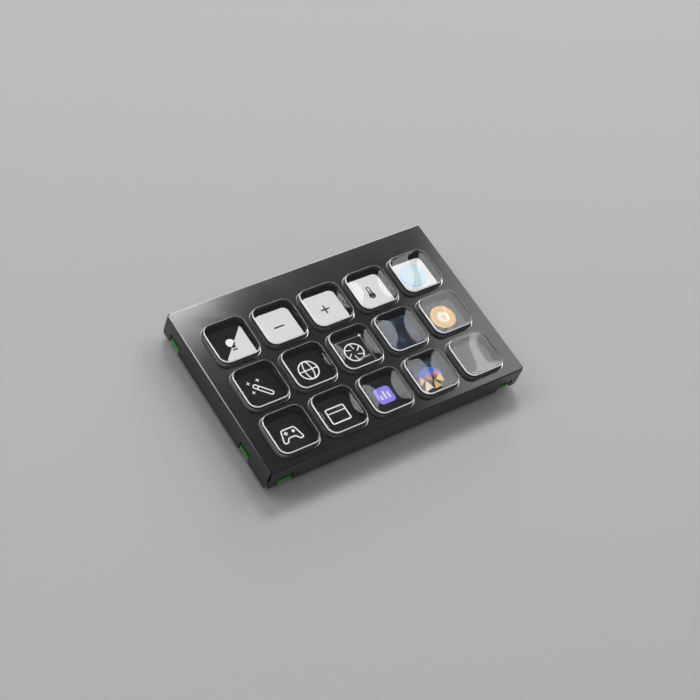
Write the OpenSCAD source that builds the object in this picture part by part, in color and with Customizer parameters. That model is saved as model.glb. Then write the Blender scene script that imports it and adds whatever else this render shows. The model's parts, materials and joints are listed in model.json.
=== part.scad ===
// Macro pad module: fifteen clear sprung keys over one flat display, in a folded
// metal front plate, with the main board open at the back on four standoffs.
// Millimetres. X runs along a row of keys, Y towards the rear edge, Z out of the
// keys. The standoffs' feet stand at z = 0 and the plate is centred on the origin.

/* [Key grid] */
// Gap between neighbouring caps
key_gap = 3.5; // [3:0.1:8]
// Outer caps to the display's side edges
display_side_margin = 3.98; // [2:0.01:8]
// Front caps to the display's front edge
display_front_margin = 1.38; // [0.5:0.01:6]
// Rear caps to the display's rear edge
display_rear_margin = 8.68; // [6:0.01:14]

/* [Front plate] */
// Display's side edges to the plate's side edges
side_rim = 2.67; // [2.2:0.01:5]
// Display's front and rear edges to the plate's edges
end_rim = 2.37; // [2.2:0.01:5]
// Thickness of the folded sheet
sheet_t = 0.8; // [0.6:0.1:1.2]
// Outside radius of the folds
fold_r = 0.5; // [0.2:0.1:0.6]
// Full height of the folded skirt
skirt_h = 10; // [9:0.5:11]
// Gap where two skirts meet at a corner
corner_gap = 0.4; // [0.2:0.1:0.8]
// Radius of the small relief hole at each corner of the folds
relief_r = 0.45; // [0.3:0.05:0.7]
// Radius of the lower corners of each skirt
skirt_corner_r = 1.5; // [0.5:0.1:2.5]
// Bevel round each key window
window_bevel = 0.3; // [0.1:0.05:0.4]

/* [Keycaps] */
// Side of the square clear cap
cap_w = 16.7; // [15.5:0.1:16.9]
// Corner radius of the cap, seen from above
cap_r = 3.6; // [3:0.1:5]
// How far the cap stands out of the plate at rest
cap_proud = 2.5; // [1.5:0.1:4]
// Rounding of the cap's top edge
cap_edge_r = 0.5; // [0.2:0.1:0.9]
// Depth of the finger dish in the cap's top
dish_depth = 0.25; // [0.05:0.05:0.4]
// Key travel from rest to the stop
travel = 0.9; // [0.5:0.1:1.2]
// Running gap between a cap and its window
window_gap = 0.35; // [0.2:0.05:0.5]

/* [Key collars] */
// Reach of the retaining flange past the cap
flange_reach = 1.15; // [0.9:0.05:1.25]
// Thickness of the retaining flange
flange_t = 0.45; // [0.3:0.05:0.8]
// Corner radius of the retaining flange
flange_r = 2.5; // [1:0.1:3]
// Wall of the sleeve round the cap's lower end
sleeve_wall = 0.25; // [0.15:0.05:0.35]
// Gap between the collar flange and its guide
guide_gap = 0.2; // [0.1:0.05:0.3]

/* [Key switch layers] */
// Thickness of the rubber dome sheet
dome_sheet_t = 0.25; // [0.15:0.05:0.5]
// Foot diameter of one rubber dome
dome_d = 1.4; // [1:0.1:1.6]
// Thickness of the contact board
contact_t = 0.5; // [0.3:0.1:1]
// Adhesive film between plate and key guide
film_t = 0.1; // [0.05:0.05:0.2]

/* [Display] */
// Thickness of the display glass
glass_t = 1.1; // [0.7:0.1:1.5]
// Height of the backlight tray
tray_t = 1.6; // [1.2:0.1:2.4]
// Sheet thickness of the backlight tray
tray_wall = 0.3; // [0.2:0.05:0.4]
// Width of the display's ribbon
display_ribbon_w = 20.5; // [10:0.5:30]
// Centre of the display's ribbon to the left edge
display_ribbon_from_left = 29.4; // [20:0.1:40]
// Width of the keypad's ribbon
keypad_ribbon_w = 8; // [4:0.5:12]
// Centre of the keypad's ribbon to the right edge
keypad_ribbon_from_right = 25.4; // [15:0.1:35]

/* [Main board] */
// Thickness of the main board
board_t = 1.6; // [1:0.1:2]
// Air left between main board and backlight tray
board_air = 1.1; // [0.8:0.1:2]
// Width of the notches in the skirts
notch_w = 6.2; // [4:0.1:8]
// Spare room beside a board tab in its notch
tab_play = 0.9; // [0.3:0.1:1.5]
// Notch height above the board's upper face
notch_head = 1.4; // [0.5:0.1:2.5]
// Centre of the rear side tabs to the rear edge
tab_from_rear = 8.1; // [7:0.1:12]
// Centre of the front side tabs to the front edge
tab_from_front = 15.3; // [10:0.1:20]
// Centre of the left end tabs to the left edge
tab_from_left = 7.9; // [6.5:0.1:15]
// Centre of the right end tabs to the right edge
tab_from_right = 6.3; // [6:0.1:15]

/* [Mounting] */
// Length of the standoffs behind the board
standoff_h = 4.4; // [4:0.1:10]
// Outside diameter of a standoff
standoff_d = 5.6; // [5:0.1:7]
// Drilled radius of the standoff's M3 thread
thread_r = 1.25; // [1:0.05:1.5]
// Standoff centres to the board's side edges
mount_inset_x = 6.45; // [5:0.05:12]
// Standoff centres to the board's front and rear edges
mount_inset_y = 6; // [5:0.05:14]

/* [USB socket] */
// Width of the socket's metal shell
usb_w = 8.94; // [8.8:0.01:9.2]
// Height of the socket's metal shell
usb_h = 3.26; // [3.1:0.01:3.4]
// Length of the socket's metal shell
usb_l = 7.35; // [6.5:0.05:10]
// Sheet thickness of the shell
usb_wall = 0.3; // [0.2:0.05:0.35]

/* [Hidden] */
$fn = 48;
columns = 5;
rows = 3;
eps = 0.01;      // overshoot of a cutting tool past a face
fit = 0.15;      // easy fit of an inner layer inside the plate
bond = 0.03;     // glue line between a cap and its collar
touch = 0.05;    // gap left where a key part stops against another
press_gap = 0.1; // air under a fully pressed flange
glass_gap = 0.2; // air between a fully pressed cap and the display

// Display in plan, and the plate's outline round it
key_pitch = cap_w + key_gap;
display_w = (columns - 1) * key_pitch + cap_w + 2 * display_side_margin;
display_d = (rows - 1) * key_pitch + cap_w + display_front_margin + display_rear_margin;
display_corner_r = 0.6;
body_w = display_w + 2 * side_rim;
body_d = display_d + 2 * end_rim;
grid_y = (display_front_margin - display_rear_margin) / 2;
inner_w = body_w - 2 * sheet_t;
inner_d = body_d - 2 * sheet_t;
layer_w = inner_w - 2 * fit;
layer_d = inner_d - 2 * fit;
layer_corner_r = 1;

// Keys in plan
dish_rim = 0.7; // flat left between the dish and the rounded edge
window_w = cap_w + 2 * window_gap;
window_r = cap_r + window_gap;
flange_w = cap_w + 2 * flange_reach;
sleeve_w = cap_w + 2 * sleeve_wall;
sleeve_r = cap_r + sleeve_wall;
sleeve_gap = 0.3;
layer_window_w = sleeve_w + 2 * sleeve_gap;
layer_window_r = sleeve_r + sleeve_gap;
guide_window_w = flange_w + 2 * guide_gap;
guide_window_r = flange_r + guide_gap;
dome_land = 0.1; // sheet left between a dome's foot and the opening
dome_top_d = dome_d * 0.64;
dome_at = cap_w / 2 - cap_r + (layer_window_r + dome_land + dome_d / 2) * cos(45);

// Backlight tray in plan
ledge = 2; // glass left bare behind the tray, where the ribbon is bonded
tray_d = display_d - ledge;
tray_y = -ledge / 2;

// The stack of layers, from the standoffs' feet upwards
board_z = standoff_h;
board_top = board_z + board_t;
tray_z = board_top + board_air;
glass_z = tray_z + tray_t;
glass_top = glass_z + glass_t;
contact_z = glass_top + fit;
dome_z = contact_z + contact_t;
guide_z = dome_z + dome_sheet_t;
flange_z = guide_z + press_gap + travel;
film_z = flange_z + flange_t + touch - film_t;
plate_under = film_z + film_t;
face_z = plate_under + sheet_t;
skirt_z = face_z - skirt_h;
cap_z = glass_top + glass_gap + travel;
cap_top = face_z + cap_proud;
cap_h = cap_top - cap_z;

// Board tabs: [x, y, angle of the outward way, side of the spare room, nick]
side_tab_rear = body_d / 2 - tab_from_rear;
side_tab_front = tab_from_front - body_d / 2;
end_tab_left = tab_from_left - body_w / 2;
end_tab_right = body_w / 2 - tab_from_right;
tab_sites = [
    [-body_w / 2, side_tab_rear, 180, 1, true],
    [-body_w / 2, side_tab_front, 180, 1, true],
    [body_w / 2, side_tab_rear, 0, -1, true],
    [body_w / 2, side_tab_front, 0, -1, true],
    [end_tab_left, -body_d / 2, 270, -1, false],
    [end_tab_right, -body_d / 2, 270, -1, false],
    [end_tab_left, body_d / 2, 90, 1, false],
    [end_tab_right, body_d / 2, 90, 1, false]
];
tab_gap = 0.1;     // running gap on a tab's tight side
nick_offset = 6.7; // half-round nick in the skirt's edge, from the tab's centre
nick_r = 0.5;

// Main board, and the frame's feet that are staked through it
board_corner_r = 3;
shelf_w = 3; // rim of the frame under the display
shelf_r = 2;
stake_d = 1.6;
stake_gap = 0.1;
stake_head_d = 2.6;
stake_head_h = 0.5;
stake_x = (layer_w / 2 + display_w / 2 + fit - shelf_w) / 2;
stake_y = 11;
stake_sites = [for (x = [-1, 1], y = [-1, 1]) [x * stake_x, y * stake_y]];

// Standoffs
spigot_d = 3.8; // end pressed into the board
spigot_gap = 0.1;
spigot_h = board_t - 0.2;
thread_depth = standoff_h + 0.6;

// Ribbons and their sockets
ribbon_t = 0.15;
ribbon_bend = 0.7;      // radius of the bend, to the middle of the ribbon
ribbon_drop = 0.15;     // straight stretch between the board and the bend
ribbon_slot = 1.6;
ribbon_side_gap = 0.75; // slot left free at each side of a ribbon
ribbon_bond_inset = 0.2;
ribbon_flat_z = board_z - ribbon_drop - ribbon_bend - ribbon_t / 2;
display_ribbon_x = display_ribbon_from_left - body_w / 2;
display_ribbon_y = display_d / 2 - ledge / 2;
keypad_ribbon_x = body_w / 2 - keypad_ribbon_from_right;
keypad_ribbon_y = (display_d + layer_d) / 4;
socket_set_back = 5.5;  // a socket's mouth, in front of its ribbon's slot
display_mouth_y = display_ribbon_y - socket_set_back;
keypad_mouth_y = keypad_ribbon_y - socket_set_back;
socket_h = 1.9;
socket_l = 5;
socket_depth = 2;
socket_cheek = 2;       // housing past each edge of the ribbon
socket_ear = [1, 2.4, 0.6];
socket_gap = 0.1;       // room round the ribbon in its mouth
latch_groove_w = 0.5;
latch_groove_depth = 0.3;

// USB socket
usb_x = 0;
usb_recess = 0.1;
usb_notch_gap = 0.35;
usb_notch_head = 0.2;
usb_corner_r = 1.2;
usb_mouth_y = body_d / 2 - usb_recess;
usb_mid_z = board_z - usb_h / 2;
tongue_w = 6.7;
tongue_t = 0.7;
tongue_r = 0.2;
tongue_reach = 4.9;
heel_l = 1.6;

function key_x(column) = (column - (columns + 1) / 2) * key_pitch;
function key_y(row) = grid_y + ((rows + 1) / 2 - row) * key_pitch;
function key_name(kind, row, column) = str(kind, "_r", row, "c", column);

// ---------- shared shapes ----------

module at_keys()
    for (row = [1:rows], column = [1:columns])
        translate([key_x(column), key_y(row), 0]) children();

module at_tabs()
    for (site = tab_sites)
        translate([site[0], site[1], 0])
            rotate([0, 0, site[2]]) {
                $side = site[3];
                $nick = site[4];
                children();
            }

module rounded_square(w, d, r) {
    square([w - 2 * r, d], center = true);
    square([w, d - 2 * r], center = true);
    for (x = [-1, 1], y = [-1, 1])
        translate([x * (w / 2 - r), y * (d / 2 - r)]) circle(r);
}

module rounded_plate(w, d, r, t)
    linear_extrude(t) rounded_square(w, d, r);

// Upright outline with its two top corners rounded
module arched_outline(w, h, r) {
    translate([-w / 2, 0]) square([w, h - r]);
    translate([-w / 2 + r, 0]) square([w - 2 * r, h]);
    for (x = [-1, 1]) translate([x * (w / 2 - r), h - r]) circle(r);
}

// The quarter of arched_outline that a corner turns through
module arched_quarter(w, h, r) {
    square([w, h - r]);
    square([w - r, h]);
    translate([w - r, h - r]) circle(r);
}

// Square block with rounded corners and a rounded top edge
module soft_block(w, corner_r, h, edge_r) {
    straight = w - 2 * corner_r;
    for (turn = [0, 90])
        rotate([90, 0, turn])
            linear_extrude(straight, center = true) arched_outline(w, h, edge_r);
    for (x = [-1, 1], y = [-1, 1])
        translate([x * straight / 2, y * straight / 2, 0])
            rotate_extrude() intersection() {
                arched_quarter(corner_r, h, edge_r);
                square([corner_r, h]);
            }
}

// Crown of a bevelled square window: widens by b over its height b
module bevel_crown(w, corner_r, b) {
    straight = w - 2 * corner_r;
    for (turn = [0, 90])
        rotate([90, 0, turn])
            linear_extrude(straight, center = true)
                polygon([[-w / 2, 0], [w / 2, 0], [w / 2 + b, b], [-w / 2 - b, b]]);
    for (x = [-1, 1], y = [-1, 1])
        translate([x * straight / 2, y * straight / 2, 0])
            cylinder(h = b, r1 = corner_r, r2 = corner_r + b);
}

// Layer that fills the plate and is open under every key
module windowed_layer(z, t, hole_w, hole_r)
    translate([0, 0, z]) linear_extrude(t) difference() {
        rounded_square(layer_w, layer_d, layer_corner_r);
        at_keys() rounded_square(hole_w, hole_w, hole_r);
    }

// ---------- front plate ----------

module folded_shell() {
    difference() {
        intersection() {
            rotate([90, 0, 0])
                linear_extrude(body_d, center = true) arched_outline(body_w, skirt_h, fold_r);
            rotate([90, 0, 90])
                linear_extrude(body_w, center = true) arched_outline(body_d, skirt_h, fold_r);
        }
        translate([-inner_w / 2, -inner_d / 2, -1])
            cube([inner_w, inner_d, skirt_h - sheet_t + 1]);
    }
}

// Cuts that part two skirts at each corner, and the relief hole above them
module corner_cuts()
    for (x = [-1, 1], y = [-1, 1])
        translate([x * (body_w / 2 - sheet_t / 2), y * (body_d / 2 - sheet_t / 2), 0]) {
            rotate([0, 0, atan2(y, x)]) {
                translate([-2 * sheet_t, -corner_gap / 2, -1])
                    cube([4 * sheet_t, corner_gap, skirt_h - sheet_t + 1]);
                translate([0, -corner_gap / 2, -1])
                    cube([2 * sheet_t, corner_gap, skirt_h + 2]);
            }
            translate([0, 0, -1]) cylinder(h = skirt_h + 2, r = relief_r);
        }

// Rounds a skirt's lower corner; x runs along the skirt, out of its end
module corner_round()
    difference() {
        translate([-skirt_corner_r, -1, -1])
            cube([skirt_corner_r + 1, sheet_t + eps + 1, skirt_corner_r + 1]);
        translate([-skirt_corner_r, sheet_t + 1, skirt_corner_r])
            rotate([90, 0, 0]) cylinder(h = sheet_t + 3, r = skirt_corner_r);
    }

module skirt_corner_rounds()
    for (turn = [0, 180]) rotate([0, 0, turn]) {
        translate([body_w / 2, -body_d / 2, 0]) corner_round();
        mirror([1, 0, 0]) translate([body_w / 2, -body_d / 2, 0]) corner_round();
        translate([body_w / 2, body_d / 2, 0]) rotate([0, 0, 90]) corner_round();
        mirror([0, 1, 0])
            translate([body_w / 2, body_d / 2, 0]) rotate([0, 0, 90]) corner_round();
    }

module skirt_notches() {
    notch_top = board_top + notch_head - skirt_z;
    at_tabs() {
        translate([-2 * sheet_t, -notch_w / 2, -1])
            cube([3 * sheet_t, notch_w, notch_top + 1]);
        if ($nick)
            translate([-2 * sheet_t, $side * nick_offset, 0])
                rotate([0, 90, 0]) cylinder(h = 3 * sheet_t, r = nick_r);
    }
    usb_cut = usb_w + 2 * usb_notch_gap;
    translate([usb_x - usb_cut / 2, body_d / 2 - 2 * sheet_t, -1])
        cube([usb_cut, 3 * sheet_t, board_z + usb_notch_head - skirt_z + 1]);
}

module front_plate()
    color("#2b2c2f") difference() {
        translate([0, 0, skirt_z]) difference() {
            folded_shell();
            corner_cuts();
            skirt_corner_rounds();
            skirt_notches();
        }
        translate([0, 0, plate_under - 1])
            linear_extrude(sheet_t + 2) at_keys() rounded_square(window_w, window_w, window_r);
        translate([0, 0, face_z - window_bevel])
            at_keys() bevel_crown(window_w, window_r, window_bevel + eps);
    }

module adhesive_film()
    color("#3c3c3c") windowed_layer(film_z, film_t, guide_window_w, guide_window_r);

// ---------- keys ----------

// Solid clear block with a shallow round finger dish
module keycap(row, column) {
    dish_half = cap_w / 2 - cap_edge_r - dish_rim;
    dish_r = (dish_half * dish_half + dish_depth * dish_depth) / (2 * dish_depth);
    color([0.85, 0.9, 0.95, 0.45])
        translate([key_x(column), key_y(row), cap_z]) difference() {
            soft_block(cap_w, cap_r, cap_h, cap_edge_r);
            translate([0, 0, cap_h + dish_r - dish_depth]) sphere(dish_r, $fn = 96);
        }
}

// Black collar: a sleeve round the cap's lower end, and the flange that stops
// under the plate and presses the four domes
module collar(row, column)
    color("#101011")
        translate([key_x(column), key_y(row), 0]) difference() {
            union() {
                translate([0, 0, cap_z])
                    rounded_plate(sleeve_w, sleeve_w, sleeve_r, flange_z + flange_t - cap_z);
                translate([0, 0, flange_z])
                    rounded_plate(flange_w, flange_w, flange_r, flange_t);
            }
            translate([0, 0, cap_z - 1])
                rounded_plate(cap_w + 2 * bond, cap_w + 2 * bond, cap_r + bond, cap_h);
        }

module key_guide()
    color("#18181a") windowed_layer(guide_z, film_z - guide_z, guide_window_w, guide_window_r);

module dome_sheet()
    color("#8f9295") {
        windowed_layer(dome_z, dome_sheet_t, layer_window_w, layer_window_r);
        at_keys() for (x = [-1, 1], y = [-1, 1])
            translate([x * dome_at, y * dome_at, dome_z])
                cylinder(h = flange_z - touch - dome_z, r1 = dome_d / 2, r2 = dome_top_d / 2);
    }

module contact_board()
    color("#1d4d2a") windowed_layer(contact_z, contact_t, layer_window_w, layer_window_r);

// ---------- display ----------

module display_glass()
    color("#0a0a0c") translate([0, 0, glass_z])
        rounded_plate(display_w, display_d, display_corner_r, glass_t);

// Stamped pan, open towards the glass
module backlight_tray()
    color("#b9bcc0") translate([0, tray_y, tray_z]) difference() {
        rounded_plate(display_w, tray_d, display_corner_r, tray_t);
        translate([0, 0, tray_wall])
            rounded_plate(display_w - 2 * tray_wall, tray_d - 2 * tray_wall,
                          display_corner_r - tray_wall, tray_t);
    }

led_size = [3, 0.8, 0.9];
led_count = 8;
led_strip_d = 1.1;
light_guide_gap = 0.1;

module light_guide() {
    room_w = display_w - 2 * tray_wall - 2 * light_guide_gap;
    room_d = tray_d - 2 * tray_wall - 2 * light_guide_gap - led_strip_d;
    color("#eceeea") translate([0, tray_y + led_strip_d / 2, tray_z + tray_wall])
        rounded_plate(room_w, room_d, display_corner_r - tray_wall,
                      tray_t - tray_wall - light_guide_gap);
}

module backlight_leds()
    color("#f4efc8")
        for (i = [0:led_count - 1])
            translate([(i - (led_count - 1) / 2) * display_w / led_count,
                       tray_y - tray_d / 2 + tray_wall + light_guide_gap,
                       tray_z + tray_wall])
                translate([-led_size[0] / 2, 0, 0]) cube(led_size);

// ---------- carrier frame ----------

module ribbon_gaps(z, h)
    for (site = [[display_ribbon_x, display_ribbon_w, display_ribbon_y],
                 [keypad_ribbon_x, keypad_ribbon_w, keypad_ribbon_y]])
        translate([site[0] - site[1] / 2 - ribbon_side_gap, site[2] - ribbon_slot / 2, z])
            cube([site[1] + 2 * ribbon_side_gap, ribbon_slot, h]);

// Moulded frame that holds the display up off the board, staked through it
module carrier_frame() {
    pocket_w = display_w + 2 * fit;
    pocket_d = display_d + 2 * fit;
    color("#202124") difference() {
        union() {
            translate([0, 0, board_top])
                rounded_plate(layer_w, layer_d, layer_corner_r, contact_z - board_top);
            for (site = stake_sites) translate([site[0], site[1], 0]) {
                translate([0, 0, board_z - eps])
                    cylinder(h = board_t + 2 * eps, d = stake_d);
                translate([0, 0, board_z - stake_head_h])
                    cylinder(h = stake_head_h, d1 = stake_head_d * 0.7, d2 = stake_head_d);
            }
        }
        translate([0, 0, tray_z])
            rounded_plate(pocket_w, pocket_d, display_corner_r, contact_z);
        translate([0, 0, board_top - eps])
            rounded_plate(pocket_w - 2 * shelf_w, pocket_d - 2 * shelf_w, shelf_r,
                          board_air + 2 * eps);
        ribbon_gaps(board_top - 1 + eps, contact_z);
    }
}

// ---------- main board ----------

module board_tabs()
    at_tabs()
        translate([-2 * sheet_t, $side * (tab_play - tab_gap) / 2
                   - (notch_w - tab_play - tab_gap) / 2, 0])
            cube([2 * sheet_t, notch_w - tab_play - tab_gap, board_t]);

module main_board()
    color("#1f7a33") difference() {
        translate([0, 0, board_z]) {
            rounded_plate(layer_w, layer_d, board_corner_r, board_t);
            board_tabs();
        }
        ribbon_gaps(board_z - 1, board_t + 2);
        for (site = stake_sites)
            translate([site[0], site[1], board_z - 1])
                cylinder(h = board_t + 2, d = stake_d + 2 * stake_gap);
        at_standoffs() translate([0, 0, board_z - 1])
            cylinder(h = board_t + 2, d = spigot_d + 2 * spigot_gap);
    }

module at_standoffs()
    for (x = [-1, 1], y = [-1, 1])
        translate([x * (layer_w / 2 - mount_inset_x), y * (layer_d / 2 - mount_inset_y), 0])
            children();

module standoffs()
    color("#c9a24a") at_standoffs() difference() {
        union() {
            cylinder(h = standoff_h, d = standoff_d);
            cylinder(h = standoff_h + spigot_h, d = spigot_d);
        }
        translate([0, 0, -1]) cylinder(h = thread_depth + 1, r = thread_r);
    }

// Flat ribbon: down through the board, then forward into its socket
module ribbon(x, w, y, z_top, bond_l, mouth_y) {
    bend_z = board_z - ribbon_drop;
    inner = ribbon_bend - ribbon_t / 2;
    outer = ribbon_bend + ribbon_t / 2;
    tip_y = mouth_y - socket_depth + socket_gap;
    translate([x, 0, 0]) rotate([90, 0, 90]) linear_extrude(w, center = true) {
        translate([y - ribbon_t / 2, bend_z]) square([ribbon_t, z_top - bend_z]);
        translate([y - ribbon_t / 2, z_top - ribbon_t]) square([bond_l, ribbon_t]);
        translate([y - ribbon_bend, bend_z]) intersection() {
            difference() {
                circle(outer);
                circle(inner);
            }
            translate([0, -2 * outer]) square(2 * outer);
        }
        translate([tip_y, ribbon_flat_z]) square([y - ribbon_bend - tip_y, ribbon_t]);
    }
}

// Ribbon socket on the board's back, its mouth towards the rear edge
module ribbon_socket(x, w, mouth_y)
    translate([x, mouth_y, board_z]) difference() {
        union() {
            translate([-w / 2 - socket_cheek, -socket_l, -socket_h])
                cube([w + 2 * socket_cheek, socket_l, socket_h]);
            for (side = [-1, 1])
                translate([side * (w / 2 + socket_cheek + socket_ear[0] / 4) - socket_ear[0] / 2,
                           -socket_l + socket_ear[0], -socket_ear[2]])
                    cube(socket_ear);
        }
        translate([-w / 2 - socket_gap, -socket_depth, ribbon_flat_z - board_z - socket_gap])
            cube([w + 2 * socket_gap, socket_depth + 1, ribbon_t + 2 * socket_gap]);
        translate([-w / 2, -socket_l + 2 * latch_groove_w, -socket_h - eps])
            cube([w, latch_groove_w, latch_groove_depth + eps]);
    }

module display_ribbon()
    color("#c07a2c")
        ribbon(display_ribbon_x, display_ribbon_w, display_ribbon_y, glass_z,
               ledge / 2 - ribbon_bond_inset, display_mouth_y);

module display_socket()
    color("#e3ded2") ribbon_socket(display_ribbon_x, display_ribbon_w, display_mouth_y);

module keypad_ribbon()
    color("#c07a2c")
        ribbon(keypad_ribbon_x, keypad_ribbon_w, keypad_ribbon_y, contact_z,
               ribbon_slot / 2 - ribbon_bond_inset, keypad_mouth_y);

module keypad_socket()
    color("#e3ded2") ribbon_socket(keypad_ribbon_x, keypad_ribbon_w, keypad_mouth_y);

// ---------- USB socket ----------

module usb_section(inset)
    rounded_square(usb_w - 2 * inset, usb_h - 2 * inset, usb_corner_r - inset);

module usb_shell()
    color("#c4c7ca") translate([usb_x, usb_mouth_y, usb_mid_z]) rotate([90, 0, 0])
        difference() {
            linear_extrude(usb_l) usb_section(0);
            translate([0, 0, -1]) linear_extrude(usb_l - usb_wall + 1) usb_section(usb_wall);
        }

module usb_tongue()
    color("#161616") translate([usb_x, usb_mouth_y - usb_l + usb_wall, usb_mid_z])
        rotate([-90, 0, 0]) {
            linear_extrude(heel_l) usb_section(usb_wall + touch);
            translate([0, 0, heel_l - eps])
                linear_extrude(tongue_reach) rounded_square(tongue_w, tongue_t, tongue_r);
        }

// ---------- chips and small parts on the board's back ----------

chip_w = 10;
chip_t = 1.4;
chip_at = [-9, -4];
chip_stand = 0.1; // air between a package and the board
chip_bevel = 0.15;
dimple_inset = 1.3;
dimple_depth = 0.15;
lead_count = 16;  // leads on each side of the processor
lead_pitch = 0.5;
lead_w = 0.22;
lead_t = 0.12;
lead_reach = 1;
lead_gap = 0.01;  // lead to package
flash_size = [5.2, 5.2, 1.7];
flash_at = [11, -6];
flash_lead_count = 4;
flash_lead_pitch = 1.27;
flash_lead_w = 0.4;

// Upright outline of a package: its rim stands out at half height
module package_outline(w, h)
    polygon([[-w / 2 + chip_bevel, 0], [w / 2 - chip_bevel, 0], [w / 2, h / 2],
             [w / 2 - chip_bevel, h], [-w / 2 + chip_bevel, h], [-w / 2, h / 2]]);

// Flat package with a pin-one dimple, hung under the board
module package(size, at, dimple_d)
    translate([at[0], at[1], board_z - chip_stand - size[2]]) difference() {
        intersection() {
            rotate([90, 0, 0])
                linear_extrude(size[1], center = true) package_outline(size[0], size[2]);
            rotate([90, 0, 90])
                linear_extrude(size[0], center = true) package_outline(size[1], size[2]);
        }
        translate([-size[0] / 2 + dimple_inset, size[1] / 2 - dimple_inset, -eps])
            cylinder(h = dimple_depth + eps, d = dimple_d);
    }

// One gull-wing lead; x points away from the package, z = 0 on the board's face
module lead(height, width) {
    shoulder = 0.3 * lead_reach;
    heel = 0.5 * lead_reach;
    rotate([90, 0, 0]) linear_extrude(width, center = true)
        polygon([[0, -height - lead_t / 2], [shoulder, -height - lead_t / 2],
                 [heel, -lead_t], [lead_reach, -lead_t], [lead_reach, 0],
                 [heel - lead_t, 0], [shoulder - lead_t, -height + lead_t / 2],
                 [0, -height + lead_t / 2]]);
}

// A row of leads along y, centred on the package's side
module lead_row(size, count, pitch, width)
    for (i = [0:count - 1])
        translate([size[0] / 2 + lead_gap, (i - (count - 1) / 2) * pitch, 0])
            lead(chip_stand + size[2] / 2, width);

chip_size = [chip_w, chip_w, chip_t];

module processor()
    color("#1a1a1c") package(chip_size, chip_at, 1.1);

module processor_leads()
    color("#cfd1d2") translate([chip_at[0], chip_at[1], board_z])
        for (turn = [0, 90, 180, 270])
            rotate([0, 0, turn]) lead_row(chip_size, lead_count, lead_pitch, lead_w);

module flash_chip()
    color("#1a1a1c") package(flash_size, flash_at, 0.8);

module flash_leads()
    color("#cfd1d2") translate([flash_at[0], flash_at[1], board_z])
        for (turn = [0, 180])
            rotate([0, 0, turn])
                lead_row(flash_size, flash_lead_count, flash_lead_pitch, flash_lead_w);

// Square part hung under the board
module under_board(at, w, d, r, h)
    translate([at[0], at[1], board_z - h]) rounded_plate(w, d, r, h);

crystal_at = [-20, -10];
regulator_at = [16, 12];
regulator_w = 3;
coil_at = [7, 15];
coil_w = 4.4;
coil_core_d = 3.6;

module crystal()
    color("#d8d5c8") {
        under_board(crystal_at, 3.2, 2.5, 0.3, 0.45);
        under_board(crystal_at, 2.8, 2.1, 0.4, 0.8);
    }

module regulator()
    color("#1a1a1c") under_board(regulator_at, regulator_w, regulator_w, 0.15, 0.9);

// Drum core: two square ends with a rounded waist between them
module power_coil() {
    end_t = 0.5;
    height = 2.2;
    color("#4a4b4f") {
        under_board(coil_at, coil_w, coil_w, 0.6, end_t);
        translate([coil_at[0], coil_at[1], board_z - height])
            cylinder(h = height, d = coil_core_d);
        translate([0, 0, end_t - height]) under_board(coil_at, coil_w, coil_w, 0.6, end_t);
    }
}

// Small two-ended parts: a body between slightly larger metal ends
part_l = 1.6;
part_w = 0.8;
capacitor_h = 0.8;
resistor_h = 0.45;
part_end_l = 0.4;
part_end_step = 0.04;
part_spacing = 3;  // along a row of small parts
part_pair = 2;     // within a group by the coil or the regulator

module two_ended(site, h)
    translate([site[0], site[1], board_z - h]) rotate([0, 0, site[2]]) {
        translate([-part_l / 2, -part_w / 2 + part_end_step, part_end_step])
            cube([part_l, part_w - 2 * part_end_step, h - part_end_step]);
        for (x = [-part_l / 2, part_l / 2 - part_end_l])
            translate([x, -part_w / 2, 0]) cube([part_end_l, part_w, h]);
    }

// Sites [x, y, turn]: a row along x centred on at, or a column along y
function site_row(at, count) =
    [for (i = [0:count - 1]) [at[0] + (i - (count - 1) / 2) * part_spacing, at[1], 90]];
function site_column(at, count) =
    [for (i = [0:count - 1]) [at[0], at[1] + (i - (count - 1) / 2) * part_pair, 0]];

chip_row = chip_w / 2 + lead_reach + 2.4; // small parts' row, from the processor's centre
capacitor_sites = concat(
    site_row([chip_at[0], chip_at[1] + chip_row], 5),
    site_row([chip_at[0], chip_at[1] - chip_row], 5),
    site_column([coil_at[0] - coil_w, coil_at[1]], 3),
    site_column([regulator_at[0] + regulator_w + 1, regulator_at[1]], 3)
);
resistor_sites = concat(
    site_row([usb_x, usb_mouth_y - usb_l - 3], 4),
    site_row([display_ribbon_x, display_mouth_y - socket_l - 2.4], 5),
    site_row([flash_at[0], flash_at[1] + flash_size[1]], 3)
);

module capacitors()
    color("#b08a5a") for (site = capacitor_sites) two_ended(site, capacitor_h);

module resistors()
    color("#2a2c33") for (site = resistor_sites) two_ended(site, resistor_h);

// ---------- assembly ----------

front_plate();
adhesive_film();
key_guide();
dome_sheet();
contact_board();
display_glass();
backlight_tray();
light_guide();
backlight_leds();
carrier_frame();
main_board();
standoffs();
display_ribbon();
display_socket();
keypad_ribbon();
keypad_socket();
usb_shell();
usb_tongue();
processor();
processor_leads();
flash_chip();
flash_leads();
crystal();
regulator();
power_coil();
capacitors();
resistors();
for (row = [1:rows], column = [1:columns]) {
    keycap(row, column);
    collar(row, column);
}
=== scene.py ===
# %% [markdown]
# # Dressing a display keypad
#
# The imported model already holds every working piece of this keypad at its real size: a folded front plate,
# fifteen sprung keys, one display behind them and a circuit board. This lesson gives those pieces their
# looks. It starts by loading the imported model.

# %% Load the imported model
import json
import bpy
import numpy as np
from mathutils import Matrix, Vector

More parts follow.
